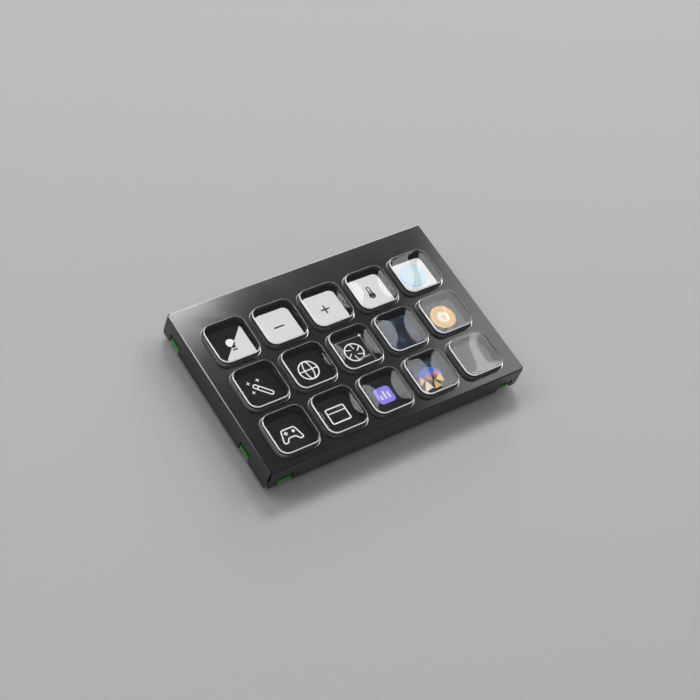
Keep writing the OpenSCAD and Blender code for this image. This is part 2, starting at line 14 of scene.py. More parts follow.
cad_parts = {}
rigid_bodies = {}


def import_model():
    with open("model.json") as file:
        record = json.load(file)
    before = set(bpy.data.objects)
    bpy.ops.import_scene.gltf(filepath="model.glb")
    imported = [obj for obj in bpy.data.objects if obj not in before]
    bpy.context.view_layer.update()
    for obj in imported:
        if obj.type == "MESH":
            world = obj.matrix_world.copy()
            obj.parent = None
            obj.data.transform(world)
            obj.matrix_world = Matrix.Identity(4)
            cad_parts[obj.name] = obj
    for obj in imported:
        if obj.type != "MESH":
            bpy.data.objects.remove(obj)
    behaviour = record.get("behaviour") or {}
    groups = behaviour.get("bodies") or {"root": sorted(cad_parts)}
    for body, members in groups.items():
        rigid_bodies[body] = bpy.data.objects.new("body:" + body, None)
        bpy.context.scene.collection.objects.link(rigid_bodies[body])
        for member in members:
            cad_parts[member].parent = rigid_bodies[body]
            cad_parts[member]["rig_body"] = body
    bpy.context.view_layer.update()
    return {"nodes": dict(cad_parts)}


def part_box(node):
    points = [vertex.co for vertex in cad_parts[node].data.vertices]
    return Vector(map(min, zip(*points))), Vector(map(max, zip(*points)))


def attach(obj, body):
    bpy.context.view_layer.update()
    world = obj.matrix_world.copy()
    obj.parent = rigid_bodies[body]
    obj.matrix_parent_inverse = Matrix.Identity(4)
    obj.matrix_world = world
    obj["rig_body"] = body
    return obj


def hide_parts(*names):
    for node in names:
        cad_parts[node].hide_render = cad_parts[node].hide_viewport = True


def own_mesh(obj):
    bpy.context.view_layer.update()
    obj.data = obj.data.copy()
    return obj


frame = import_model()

MM = 0.001
nodes = frame["nodes"]

# %% [markdown]
# ## Sizes come from the frame
#
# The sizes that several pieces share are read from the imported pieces. If the keycaps move in
# the model, the pictures under them move too. The keys are named by row and column, row 1 at
# the rear.

# %% Read the driving sizes
ROWS, COLUMNS = 3, 5
KEYS = [f"r{row}c{column}" for row in range(1, ROWS + 1) for column in range(1, COLUMNS + 1)]

cap_low, cap_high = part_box("keycap_r1c1")
CAP_HALF = (cap_high.x - cap_low.x) / 2
CAP_TOP, CAP_BOTTOM = cap_high.z, cap_low.z
GLASS_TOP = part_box("display_glass")[1].z
PLATE_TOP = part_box("front_plate")[1].z
BOARD_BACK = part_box("main_board")[0].z


def key_centre(key):
    """Middle of a keycap in plan, (x, y) in metres."""
    low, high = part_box("keycap_" + key)
    return np.array([(low.x + high.x) / 2, (low.y + high.y) / 2])


def at_key(points, key):
    """Points drawn about the origin, moved to a key's middle."""
    return points + (*key_centre(key), 0)


print("cap", round(2 * CAP_HALF / MM, 2), "mm wide, from", round(CAP_BOTTOM / MM, 2), "to",
      round(CAP_TOP / MM, 2), "mm; display glass ends at", round(GLASS_TOP / MM, 2), "mm")

# %% [markdown]
# ## Small tools for meshes
#
# A mesh here is an array of points and a list of faces. `grid_faces` joins rings of points
# into quads, and `new_piece` puts the arrays into an object whose origin stays at the model's
# origin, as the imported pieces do. Small shapes are drawn once, then repeated and joined as
# arrays, which is much lighter than an object for each.

# %% Mesh helpers


def grid_faces(rings, count):
    """Quads between neighbouring rings of count points: (i, j), (i, j+1), (i+1, j+1), (i+1, j)."""
    i, j = np.meshgrid(np.arange(rings - 1), np.arange(count), indexing="ij")
    k = (j + 1) % count
    quads = [i * count + j, i * count + k, (i + 1) * count + k, (i + 1) * count + j]
    return np.stack(quads, -1).reshape(-1, 4)


def level(flat, height):
    """Flat points, (x, y), all at one height."""
    return np.column_stack([flat, np.full(len(flat), height)])


def repeated(shape, places):
    """Copies of one shape (points, faces) at several places, as one shape."""
    points, faces = shape
    places = np.asarray(places, float)
    everywhere = (points[None] + places[:, None]).reshape(-1, points.shape[1])
    return everywhere, [[n * len(points) + i for i in face] for n in range(len(places)) for face in faces]


def joined(*shapes):
    """Several shapes as one."""
    points, faces, first = [], [], 0
    for flat, cells in shapes:
        points.append(np.asarray(flat, float))
        faces += [[first + int(i) for i in cell] for cell in cells]
        first += len(flat)
    return np.concatenate(points), faces


def place(name, data):
    """Puts a mesh, lamp or camera into the scene as an object of that name."""
    thing = bpy.data.objects.new(name, data)
    bpy.context.scene.collection.objects.link(thing)
    return thing


def riding(name, mesh, body):
    """An object that moves with a body."""
    piece = place(name, mesh)
    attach(piece, body)
    return piece


def array_mesh(name, points, faces, materials, smooth=True):
    """A mesh made from arrays, with its materials."""
    mesh = bpy.data.meshes.new(name)
    mesh.from_pydata(np.asarray(points, float).tolist(), [], [list(map(int, f)) for f in faces])
    for material in materials:
        mesh.materials.append(material)
    mesh.polygons.foreach_set("use_smooth", np.full(len(mesh.polygons), smooth))
    mesh.update()
    return mesh


def new_piece(name, points, faces, body, materials, face_materials=None, smooth=True):
    """A riding piece made from arrays. Face_materials numbers the material of each face."""
    mesh = array_mesh(name, points, faces, materials, smooth)
    if face_materials is not None:
        mesh.polygons.foreach_set("material_index", np.asarray(face_materials, np.int32))
    return riding(name, mesh, body)


def housing_piece(name, shape, material, smooth=False):
    """A piece of one material on the housing, from a shape drawn in millimetres."""
    return new_piece(name, shape[0] * MM, shape[1], "housing", [material], smooth=smooth)


def add_modifier(piece, kind, **settings):
    """Adds a modifier and sets its fields."""
    modifier = piece.modifiers.new(kind.title(), kind)
    for field, value in settings.items():
        setattr(modifier, field, value)


def read_mesh(owner, field, width, kind=float):
    """One field of a mesh's points, edges or faces as an array with that many columns."""
    values = np.empty(len(owner) * width, kind)
    owner.foreach_get(field, values)
    return values.reshape(-1, width)


# %% [markdown]
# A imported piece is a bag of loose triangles, which shade as flat facets. Smooth looks need the
# triangles merged into one skin, and a normal for each corner that says which faces belong to
# the same curve. Blender's own weighting only knows single faces, so a flat made of slivers
# would bend. Here each face weighs as much as the whole flat that it lies in.

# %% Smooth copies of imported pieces
WELD_REACH = 0.001 * MM
DIRECTION_STEPS, PLANE_STEP = 500, 0.02 * MM


def merged_mesh(node_name, name):
    """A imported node's mesh with its loose triangles merged into one skin."""
    carrier = place(name, nodes[node_name].data)
    add_modifier(carrier, "WELD", merge_threshold=WELD_REACH)
    bpy.context.view_layer.update()
    merged = bpy.data.meshes.new_from_object(carrier.evaluated_get(bpy.context.evaluated_depsgraph_get()))
    bpy.data.objects.remove(carrier)
    merged.name = name
    merged.materials.clear()
    return merged


def corner_normals(mesh, angle):
    """A normal for each corner of each face: the mean of the normals of the faces round that
    point which lie within angle degrees of the face's own, each weighted by the whole area of
    the flat that it belongs to. Faces share a flat when the steps of their directions and of
    their planes' distances from the origin are the same."""
    normal = read_mesh(mesh.polygons, "normal", 3)
    area = read_mesh(mesh.polygons, "area", 1)[:, 0]
    centre = read_mesh(mesh.polygons, "center", 3)
    plane = np.column_stack([normal * DIRECTION_STEPS, (normal * centre).sum(1) / PLANE_STEP])
    flat = np.unique(np.round(plane), axis=0, return_inverse=True)[1].ravel()
    weight = np.bincount(flat, area)[flat]
    point = read_mesh(mesh.loops, "vertex_index", 1, np.int32)[:, 0]
    face = np.repeat(np.arange(len(area)), read_mesh(mesh.polygons, "loop_total", 1, np.int32)[:, 0])
    order = np.argsort(point, kind="stable")
    count = np.bincount(point)
    first = np.cumsum(count) - count
    around = count[point]
    corner = np.repeat(np.arange(len(point)), around)
    step = np.arange(len(corner)) - np.repeat(np.cumsum(around) - around, around)
    other = face[order[first[point[corner]] + step]]
    close = (normal[face[corner]] * normal[other]).sum(1) > np.cos(np.radians(angle))
    share = (weight[other] * close)[:, None] * normal[other]
    total = np.stack([np.bincount(corner, share[:, axis]) for axis in range(3)], 1)
    return total / np.linalg.norm(total, axis=1)[:, None]


def smooth_piece(mesh, name, body, slot, materials, angle=32, parts=None):
    """An object whose curved faces shade smoothly and whose edges sharper than angle degrees
    stay crisp. Parts is a function that gives each face of the mesh its material."""
    for material in materials:
        mesh.materials.append(material)
    chosen = parts(mesh) if parts else np.zeros(len(mesh.polygons))
    mesh.polygons.foreach_set("material_index", chosen.astype(np.int32))
    mesh.polygons.foreach_set("use_smooth", np.ones(len(mesh.polygons), bool))
    mesh.normals_split_custom_set(corner_normals(mesh, angle).tolist())
    return riding(name, mesh, body)


def smooth_copy(node_name, name, slot, materials, **shading):
    """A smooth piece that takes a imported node's place."""
    mesh = merged_mesh(node_name, name)
    piece = smooth_piece(mesh, name, nodes[node_name]["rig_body"], slot, materials, **shading)
    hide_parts(node_name)
    return piece


def crisp(piece, degrees):
    """Marks a piece's edges that bend by more than that angle as sharp."""
    piece.data.set_sharp_from_angle(angle=np.radians(degrees))


def loose_parts(mesh):
    """Lowest and highest corners of a mesh's loose parts in millimetres, and each face's part.
    Every point starts with its own number and takes the lowest number among its neighbours
    until none changes."""
    points = read_mesh(mesh.vertices, "co", 3) / MM
    edges = read_mesh(mesh.edges, "vertices", 2, np.int32)
    label, settled = np.arange(len(points)), False
    while not settled:
        lowest = label[edges].min(1)
        fresh = label.copy()
        np.minimum.at(fresh, edges[:, 0], lowest)
        np.minimum.at(fresh, edges[:, 1], lowest)
        settled = (fresh == label).all()
        label = fresh
    part = np.unique(label, return_inverse=True)[1].ravel()
    low = np.full((part.max() + 1, 3), np.inf)
    high = -low
    np.minimum.at(low, part, points)
    np.maximum.at(high, part, points)
    first = read_mesh(mesh.polygons, "loop_start", 1, np.int32)[:, 0]
    corners = read_mesh(mesh.loops, "vertex_index", 1, np.int32)[:, 0]
    return low, high, part[corners[first]]


# %% [markdown]
# ## Small tools for materials
#
# A finish is a Principled shader with a few textures in front of it. Values that are the same
# all over are written on the shader's own sockets. What varies comes from noise on Object
# coordinates, so it stays on the surface at its real scale. Most finishes here need only one
# noise, which moves the roughness, the colour or both, and `uneven` makes these.

# %% Material helpers
NOISE_LOW, NOISE_HIGH = 0.3, 0.7


def new_material(name, **sockets):
    """A Principled material; sockets are given as base_color=..., roughness=... and so on."""
    material = bpy.data.materials.new(name)
    material.use_nodes = True
    shader = material.node_tree.nodes["Principled BSDF"]
    for socket, value in sockets.items():
        label = socket.replace("_", " ").title().replace("Ior", "IOR")
        if label.endswith("Color"):
            value = (*value, 1)
        shader.inputs[label].default_value = value
    return material


def add_node(material, kind, inputs=None, **settings):
    """Adds a node, sets its fields, and links or sets its inputs."""
    node = material.node_tree.nodes.new("ShaderNode" + kind)
    for field, value in settings.items():
        setattr(node, field, value)
    for socket, value in (inputs or {}).items():
        if isinstance(value, bpy.types.NodeSocket):
            material.node_tree.links.new(value, node.inputs[socket])
        else:
            node.inputs[socket].default_value = value
    return node


def to_shader(material, socket, output):
    """Links an output into the material's Principled shader."""
    shader = material.node_tree.nodes["Principled BSDF"]
    material.node_tree.links.new(output, shader.inputs[socket])


def object_noise(material, scale, detail=3, stretch=(1, 1, 1)):
    """Noise on Object coordinates, scale in cells per metre; stretch squeezes it along an axis."""
    coords = add_node(material, "TexCoord")
    mapping = add_node(material, "Mapping", {"Vector": coords.outputs["Object"], "Scale": stretch})
    return add_node(material, "TexNoise", {"Vector": mapping.outputs[0], "Scale": scale, "Detail": detail})


def vary(material, socket, noise, low, high):
    """Lets a number on the shader wander between low and high with a noise."""
    spread = add_node(material, "MapRange", {"Value": noise.outputs[0], "From Min": NOISE_LOW,
                                             "From Max": NOISE_HIGH, "To Min": low, "To Max": high})
    to_shader(material, socket, spread.outputs[0])


def mix_color(material, factor, dark, light):
    """Takes the base colour from dark to light as an output goes from 0 to 1."""
    mix = add_node(material, "Mix", {0: factor, 6: (*dark, 1), 7: (*light, 1)}, data_type="RGBA")
    to_shader(material, "Base Color", mix.outputs[2])


def bump(material, noise, depth, strength):
    """Raises the surface by a noise of that depth, in metres."""
    bumps = add_node(material, "Bump", {"Height": noise.outputs[0], "Distance": depth, "Strength": strength})
    to_shader(material, "Normal", bumps.outputs[0])


def uneven(name, scale, rough=None, tones=None, detail=3, stretch=(1, 1, 1), **sockets):
    """A material with one noise. Rough holds the two ends of its roughness, and tones the two
    ends of its base colour."""
    material = new_material(name, **sockets)
    noise = object_noise(material, scale, detail, stretch)
    if rough:
        vary(material, "Roughness", noise, *rough)
    if tones:
        mix_color(material, noise.outputs[0], *tones)
    return material


# %% [markdown]
# ## The front plate
#
# The plate is one sheet with folded skirts, in a satin black coat. A coat like this is smooth
# to the eye, but it spreads a lamp's reflection into a soft gradient, and that gradient is
# most of what we see of it. So the finish is a dark base, a low roughness that wanders a
# little, and a very fine grain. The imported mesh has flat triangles, so the plate is a merged
# copy of it with smooth folds and crisp edges.

# %% Satin black coat
plate_black = uneven("satin_black_coat", 60, (0.105, 0.13), base_color=(0.013, 0.0133, 0.0143),
                     roughness=0.12)
bump(plate_black, object_noise(plate_black, 9000, detail=2), 0.002 * MM, 0.25)

# %% [markdown]
# Over the rear and left folds a brighter line is painted on the coat: a painted highlight, which fades
# towards the front. The line is a second material on the fold's own faces, so it follows the fold exactly.
# They are picked by how far they lean from level.

# %% Painted highlight on the folds
painted_fold_highlight = uneven("painted_fold_highlight", 350, (0.3, 0.45), detail=4, base_color=(0.4, 0.4, 0.41), roughness=0.35,
                     metallic=0.5)
FADE_FROM, FADE_TO = -30 * MM, 15 * MM
fold_coords = add_node(painted_fold_highlight, "TexCoord")
fold_place = add_node(painted_fold_highlight, "SeparateXYZ", {"Vector": fold_coords.outputs["Object"]})
fold_fade = add_node(painted_fold_highlight, "MapRange", {"Value": fold_place.outputs["Y"], "From Min": FADE_FROM,
                                               "From Max": FADE_TO})
# painted highlight: dark towards the front, bright towards the rear
mix_color(painted_fold_highlight, fold_fade.outputs[0], (0.03, 0.03, 0.031), (0.46, 0.46, 0.47))
HIGHLIGHT_REAR, HIGHLIGHT_LEFT, FOLD_ROUND = (4, 66), (18, 55), 0.6 * MM
FACING = 0.04


def fold_highlight_parts(mesh):
    """1 where the painted highlight goes: on a face near the top that leans to the rear, or to the left, by
    an angle within the rear or the left range, in degrees."""
    normal = read_mesh(mesh.polygons, "normal", 3)
    lean = np.degrees(np.arccos(normal[:, 2].clip(-1, 1)))
    height = read_mesh(mesh.polygons, "center", 3)[:, 2]
    rear = (normal[:, 1] > FACING) & (lean > HIGHLIGHT_REAR[0]) & (lean < HIGHLIGHT_REAR[1])
    left = (normal[:, 0] < -FACING) & (lean > HIGHLIGHT_LEFT[0]) & (lean < HIGHLIGHT_LEFT[1])
    return ((rear | left) & (height > PLATE_TOP - FOLD_ROUND)).astype(int)


cover_sheet = smooth_copy("front_plate", "cover_sheet", "plate_black", [plate_black, painted_fold_highlight],
                          angle=50, parts=fold_highlight_parts)
print("cover sheet:", len(cover_sheet.data.polygons), "faces")

# %% [markdown]
# ## The keycaps
#
# A cap is a clear block with a soft edge and a very shallow dish on top. Its sides are coated
# black, which keeps light from one key out of the next, so the block shows as clear only from
# above. The side wall is a rounded square carried down a profile: each point of the outline
# has a core point and an outward direction, and the outline moved out by `o` is core +
# (radius + o) * direction. The top and the underside continue the rings to the middle with a
# scale.

# %% Keycap outline and rings
CAP_RADIUS = 3.6 * MM
EDGE_RADIUS = 0.5 * MM
DISH = 0.24 * MM
CORNER_STEPS, SIDE_STEPS = 12, 8


def rounded_square(half, radius, outset):
    """A rounded square, counter-clockwise: straight sides between four quarter circles. Each
    point is core + (radius + outset) * its outward direction."""
    turn = np.linspace(0, np.pi / 2, CORNER_STEPS + 1)
    quarter = np.stack([np.cos(turn), np.sin(turn)], 1)
    reach = half - radius
    along = np.linspace(0, 1, SIDE_STEPS + 1)[1:-1, None]
    cores, outs = [], []
    for step in range(4):
        c, s = np.cos(step * np.pi / 2), np.sin(step * np.pi / 2)
        spin = np.array([[c, s], [-s, c]])
        corner = np.array([reach, reach]) @ spin
        following = np.array([-reach, reach]) @ spin
        cores += [np.repeat(corner[None], CORNER_STEPS + 1, 0), corner + (following - corner) * along]
        outs += [quarter @ spin, np.repeat(np.array([[0.0, 1.0]]) @ spin, SIDE_STEPS - 1, 0)]
    return np.concatenate(cores) + (radius + outset) * np.concatenate(outs)


def cap_outline(outset=0):
    """A cap's outline from above, moved outwards."""
    return rounded_square(CAP_HALF, CAP_RADIUS, outset)


def cushion(x, y, half):
    """Shallow square dome: (1 - (x/half)^2) * (1 - (y/half)^2), 1 in the middle, 0 at the sides."""
    return np.maximum(1 - (x / half) ** 2, 0) * np.maximum(1 - (y / half) ** 2, 0)


print("outline of", len(cap_outline()), "points")

# %% Keycap surface
RIM_BAND, LOW_EDGE = 0.15 * MM, 0.15 * MM
EDGE_RINGS, HIGHLIGHT_RINGS = 9, 5
TOP_SCALES = np.linspace(1, 0, 25)[1:-1]
FILM_TOP = CAP_TOP - EDGE_RADIUS - RIM_BAND


def keycap_surface():
    """Points, faces and the part of each face: 0 clear, 1 coated side, 2 soft edge with a painted highlight,
    3 underside.
    The dish is z = top - dish * cushion, and the soft edge at angle t from level has the inset
    edge * (1 - cos t) and the height top - edge * (1 - sin t)."""
    rings = []
    for scale in TOP_SCALES[::-1]:
        flat = cap_outline(-EDGE_RADIUS) * scale
        dome = cushion(flat[:, 0], flat[:, 1], CAP_HALF - EDGE_RADIUS)
        rings.append(np.column_stack([flat, CAP_TOP - DISH * dome]))
    for t in np.radians(np.linspace(90, 0, EDGE_RINGS)):
        inset, drop = EDGE_RADIUS * (1 - np.cos(t)), EDGE_RADIUS * (1 - np.sin(t))
        rings.append(level(cap_outline(-inset), CAP_TOP - drop))
    wall_first = len(rings) - 1
    for height, inset in ((FILM_TOP, 0), (CAP_BOTTOM + LOW_EDGE, 0), (CAP_BOTTOM, LOW_EDGE)):
        rings.append(level(cap_outline(-inset), height))
    wall_last = len(rings) - 1
    rings += [level(cap_outline(-LOW_EDGE) * scale, CAP_BOTTOM) for scale in TOP_SCALES]
    count = len(flat)

    points = np.concatenate(rings)
    faces = grid_faces(len(rings), count)[:, ::-1]
    ring_of = np.repeat(np.arange(len(rings) - 1), count)
    part = ((ring_of > wall_first) & (ring_of < wall_last)).astype(int)
    part[(ring_of >= wall_first - HIGHLIGHT_RINGS) & (ring_of <= wall_first)] = 2
    part[ring_of >= wall_last - 1] = 3
    top_pole, under_pole = len(points), len(points) + 1
    points = np.vstack([points, [0, 0, CAP_TOP - DISH], [0, 0, CAP_BOTTOM]])
    j = np.arange(count)
    k = (j + 1) % count
    last = (len(rings) - 1) * count
    fans = [(top_pole, a, b) for a, b in zip(j, k)] + [(under_pole, last + b, last + a) for a, b in zip(j, k)]
    return points, [*faces, *fans], np.concatenate([part, np.repeat([0, 3], count)])


cap_points, cap_faces, cap_parts = keycap_surface()
print("one keycap:", len(cap_points), "points,", len(cap_faces), "faces")

# %% [markdown]
# The clear part is acrylic: full transmission at its real index of refraction, so the picture under it shows
# as far down as it does through a real block. Its underside is bloomed, as a camera lens is, so it reflects
# nothing. The coat on the sides is a thin black film. The soft edge is painted near white and glows a little
# by itself: a painted highlight round each picture, standing in for the light it catches.

# %% Clear acrylic, side coat and painted edge highlight
ACRYLIC = {"base_color": (0.97, 0.98, 0.985), "roughness": 0.0, "transmission_weight": 1.0, "ior": 1.49}
key_clear = new_material("clear_acrylic", **ACRYLIC)
bloomed_underside = new_material("bloomed_underside", **ACRYLIC, specular_tint=(0, 0, 0, 1))
side_coat = uneven("black_side_coat", 700, tones=((0.018, 0.018, 0.019), (0.04, 0.04, 0.043)), detail=2,
                   stretch=(1, 1, 0.05), base_color=(0.028, 0.028, 0.03), roughness=0.4,
                   specular_ior_level=0.1)
# painted highlight: the soft edge is near white and glows by itself
rim_highlight_paint = uneven("painted_rim_highlight", 700, (0.2, 0.42), ((0.82, 0.825, 0.83), (0.96, 0.965, 0.97)),
                    detail=4, base_color=(0.9, 0.905, 0.91), roughness=0.3,
                    emission_color=(0.95, 0.97, 1.0), emission_strength=0.22)

for key in KEYS:
    cap = new_piece("clear_cap_" + key, at_key(cap_points, key), cap_faces, "key_" + key,
                    [key_clear, side_coat, rim_highlight_paint, bloomed_underside], cap_parts)
    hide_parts("keycap_" + key)
print("made", len(KEYS), "clear caps")

# %% [markdown]
# Such a key shows two soft reflections side by side, and both run right up to its rim. One is
# in the dished top. The other is in the joint under the cap's top plate, which bulges a little
# the other way. The joint is a layer a fiftieth of a millimetre thick. A light ray meets it from
# inside the acrylic, so its index is given relative to that, and it is low enough that its two
# faces together reflect as much as the top does.

# %% Plate joint
JOINT_DEPTH, JOINT_CROWN, JOINT_THICK, JOINT_MARGIN = 0.6 * MM, 0.047 * MM, 0.02 * MM, 0.02 * MM
JOINT_SCALES, JOINT_INDEX = np.linspace(0.04, 1, 25), 1.1
joint_clear = new_material("plate_joint", base_color=(1, 1, 1), roughness=0.0, transmission_weight=1.0,
                           ior=JOINT_INDEX / ACRYLIC["ior"])


def joint_layer():
    """A thin lens: each face at z = top - depth + crown * cushion, the lower one a hair below."""
    edge = cap_outline(-JOINT_MARGIN)
    count = len(edge)
    scales = np.concatenate([JOINT_SCALES, JOINT_SCALES[::-1]])
    flat = (edge[None] * scales[:, None, None]).reshape(-1, 2)
    height = CAP_TOP - JOINT_DEPTH + JOINT_CROWN * cushion(flat[:, 0], flat[:, 1], CAP_HALF)
    height[len(flat) // 2:] -= JOINT_THICK
    faces = grid_faces(len(scales), count)[:, ::-1].tolist()
    upper, lower = list(range(count)), list(range(len(flat) - count, len(flat)))
    return np.column_stack([flat, height]), [*faces, upper, lower[::-1]]


joint_points, joint_faces = joint_layer()
for key in KEYS:
    new_piece("plate_joint_" + key, at_key(joint_points, key), joint_faces, "key_" + key,
              [joint_clear])
print("plate joints:", len(joint_faces), "faces each")

# %% [markdown]
# Outside the coat lies a film that carries painted light: a black line close under the soft edge, which is
# painted shade there, and grey from there down, which is a painted reflection on the wall. It is a sleeve of
# two walls a hundredth of a millimetre apart, carried round the cap and closed at both ends, so it covers the
# coat from outside and not from within.

# %% Side film with painted shade and reflection
# painted reflection: grey on the wall; painted shade: the black line under the soft edge
wall_reflection_paint = uneven("painted_wall_reflection", 600, (0.24, 0.4), ((0.135, 0.135, 0.138), (0.185, 0.185, 0.188)),
                    base_color=(0.16, 0.16, 0.163), roughness=0.3)
dark_line_paint = uneven("painted_dark_line", 600, (0.42, 0.6), base_color=(0.003, 0.003, 0.003), roughness=0.5,
                    specular_ior_level=0.1)
LINE_HEIGHT = 0.9 * MM
FILM_LOW = CAP_BOTTOM + 0.2 * MM
FILM_INSIDE, FILM_OUTSIDE = 0.003 * MM, 0.015 * MM


def side_sleeve():
    """Rings round the cap, up the outside and down the inside, and the material of each face."""
    walls = [(FILM_OUTSIDE, FILM_LOW), (FILM_OUTSIDE, FILM_TOP - LINE_HEIGHT), (FILM_OUTSIDE, FILM_TOP),
             (FILM_INSIDE, FILM_TOP), (FILM_INSIDE, FILM_LOW)]
    points = np.concatenate([level(cap_outline(outset), height) for outset, height in walls])
    count = len(cap_outline())
    return points, grid_faces(len(walls) + 1, count) % len(points), np.repeat([0, 1, 1, 0, 0], count)


film_points, film_faces, film_parts = side_sleeve()
for key in KEYS:
    film = new_piece("side_film_" + key, at_key(film_points, key), film_faces, "key_" + key,
                     [wall_reflection_paint, dark_line_paint], film_parts)
    crisp(film, 40)
print("side films:", len(film_faces), "faces each")

# %% [markdown]
# The windows are cut after the sheet is coated, so their rounded edges show brighter metal. A
# quarter round carried round each window makes that edge: its profile starts flat on the
# sheet and turns down into the window.

# %% Window edges
WINDOW_HALF, WINDOW_RADIUS = CAP_HALF + 0.35 * MM, 3.95 * MM
LIP_ROUND, LIP_PROUD, LIP_RINGS = 0.3 * MM, 0.01 * MM, 9
bare_edge = uneven("bare_window_edge", 1200, (0.26, 0.42), stretch=(1, 1, 4), base_color=(0.62, 0.62, 0.63),
                   metallic=0.9, roughness=0.32)


def window_lip():
    """Quarter round of radius LIP_ROUND about a window: offset o = round * (1 - sin t) from the
    window and height z = top - round * (1 - cos t), closed below by the sheet's inside."""
    t = np.radians(np.linspace(0, 90, LIP_RINGS))
    offset = np.concatenate([[LIP_ROUND], LIP_ROUND * (1 - np.sin(t)) - LIP_PROUD, [-LIP_PROUD, LIP_ROUND]])
    height = np.concatenate([[PLATE_TOP - LIP_ROUND], PLATE_TOP + LIP_PROUD - LIP_ROUND * (1 - np.cos(t)),
                             [PLATE_TOP - 2 * LIP_ROUND, PLATE_TOP - 2 * LIP_ROUND]])
    rings = [level(rounded_square(WINDOW_HALF, WINDOW_RADIUS, o), z) for o, z in zip(offset, height)]
    points = np.concatenate(rings)
    return points, grid_faces(len(rings) + 1, len(rings[0])) % len(points)


lip_points, lip_faces = repeated(window_lip(), [(*key_centre(key), 0) for key in KEYS])
window_edges = new_piece("window_edges", lip_points, lip_faces, "housing", [bare_edge])
crisp(window_edges, 40)
print("window edges:", len(lip_faces), "faces")

# %% [markdown]
# ## Materials for what carries the keys
#
# The collars, guide and frame are dark moulded plastic.

# %% Dark mouldings


def moulded(name, color, roughness, grain=0.004):
    """Moulded plastic: an even colour, a slightly uneven gloss and a spark texture of that many
    millimetres."""
    material = uneven(name, 180, (roughness - 0.05, roughness + 0.06), base_color=color, roughness=roughness)
    bump(material, object_noise(material, 4000, detail=2), grain * MM, 0.5)
    return material


def dress(material, *node_names):
    """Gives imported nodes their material."""
    for node_name in node_names:
        slots = nodes[node_name].data.materials
        slots.clear()
        slots.append(material)


dress(moulded("collar_moulding", (0.008, 0.008, 0.009), 0.5), *["collar_" + key for key in KEYS])
dress(moulded("guide_moulding", (0.012, 0.012, 0.013), 0.55), "key_guide")
dress(moulded("carrier_moulding", (0.016, 0.016, 0.018), 0.5), "carrier_frame")

# %% Display glass
display_black = uneven("display_glass", 90, (0.08, 0.16), base_color=(0.004, 0.004, 0.005), roughness=0.12,
                       specular_ior_level=0.35)
dress(display_black, "display_glass")

# %% [markdown]
# Under the glass sits the backlight: a stamped steel pan, a milky light guide and a row of
# small white lamps with yellow phosphor. The thin film above glues the plate to the key guide.

# %% Backlight and film
tray_steel = uneven("tray_steel", 900, (0.26, 0.44), ((0.5, 0.51, 0.52), (0.62, 0.63, 0.64)),
                    stretch=(0.04, 1, 1), base_color=(0.55, 0.56, 0.57), metallic=1.0, roughness=0.34)
guide_white = uneven("light_guide_white", 2500, tones=((0.74, 0.76, 0.77), (0.9, 0.9, 0.89)), detail=1,
                     base_color=(0.84, 0.85, 0.85), roughness=0.35)
led_yellow = uneven("phosphor_yellow", 3500, tones=((0.8, 0.62, 0.16), (0.9, 0.78, 0.34)),
                    base_color=(0.85, 0.7, 0.22), roughness=0.4)
dress(tray_steel, "backlight_tray")
dress(guide_white, "light_guide")
dress(led_yellow, "backlight_leds")
dress(moulded("adhesive_film", (0.045, 0.045, 0.048), 0.7, 0.01), "adhesive_film")
print("backlight and film dressed")

# %% [markdown]
# ## The rubber domes
#
# Four silicone domes push each key back up. A dome is a thin skirt with a stud on top, turned about its own
# axis, and it buckles when its key goes down. So the domes of one key are one piece, and the sheet between
# them stays as it is.

# %% Turned shapes


def turned(profile, count):
    """A profile of (radius, height) turned about Z: ring i, point j is r_i * (cos a_j, sin a_j) at
    height h_i. Its first and last rings are closed with a flat face."""
    a = np.linspace(0, 2 * np.pi, count, endpoint=False)
    r, z = np.asarray(profile, float).T
    points = np.stack([r[:, None] * np.cos(a), r[:, None] * np.sin(a), z[:, None] + 0 * a], -1)
    last = (len(r) - 1) * count
    ends = [list(range(count))[::-1], list(range(last, last + count))]
    return points.reshape(-1, 3), [*grid_faces(len(r), count).tolist(), *ends]


# %% Dome sheet
rubber_grey = uneven("dome_silicone", 500, (0.42, 0.6), base_color=(0.27, 0.28, 0.29), roughness=0.5,
                     sheen_weight=0.15)
bump(rubber_grey, object_noise(rubber_grey, 5000, detail=2), 0.004 * MM, 0.4)

SHEET_LOW, SHEET_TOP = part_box("dome_sheet")[0].z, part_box("key_guide")[0].z
web_mesh = merged_mesh("contact_board", "dome_web")
web_points = read_mesh(web_mesh.vertices, "co", 3)
layer_low, layer_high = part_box("contact_board")
rise = (web_points[:, 2] - layer_low.z) / (layer_high.z - layer_low.z)
web_points[:, 2] = SHEET_LOW + rise * (SHEET_TOP - SHEET_LOW)
web_mesh.vertices.foreach_set("co", web_points.ravel())
dome_web = smooth_piece(web_mesh, "dome_web", "housing", "rubber_grey", [rubber_grey])
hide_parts("dome_sheet")

DOME_PROFILE = [(0.7, -0.1), (0.7, 0), (0.67, 0.12), (0.61, 0.36), (0.55, 0.6), (0.5, 0.68),
                (0.455, 0.72), (0.44, 0.86), (0.42, 0.92), (0.37, 0.95)]
DOME_AT = 8.25
dome_shape = turned(DOME_PROFILE, 20)
for key in KEYS:
    x, y = key_centre(key) / MM
    corners = [(x + sx * DOME_AT, y + sy * DOME_AT, SHEET_TOP / MM) for sx in (-1, 1) for sy in (-1, 1)]
    domes = housing_piece("domes_" + key, repeated(dome_shape, corners), rubber_grey, True)
    crisp(domes, 50)
    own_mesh(domes)
print("domes:", 4 * len(KEYS), "of", len(dome_shape[1]), "faces each")

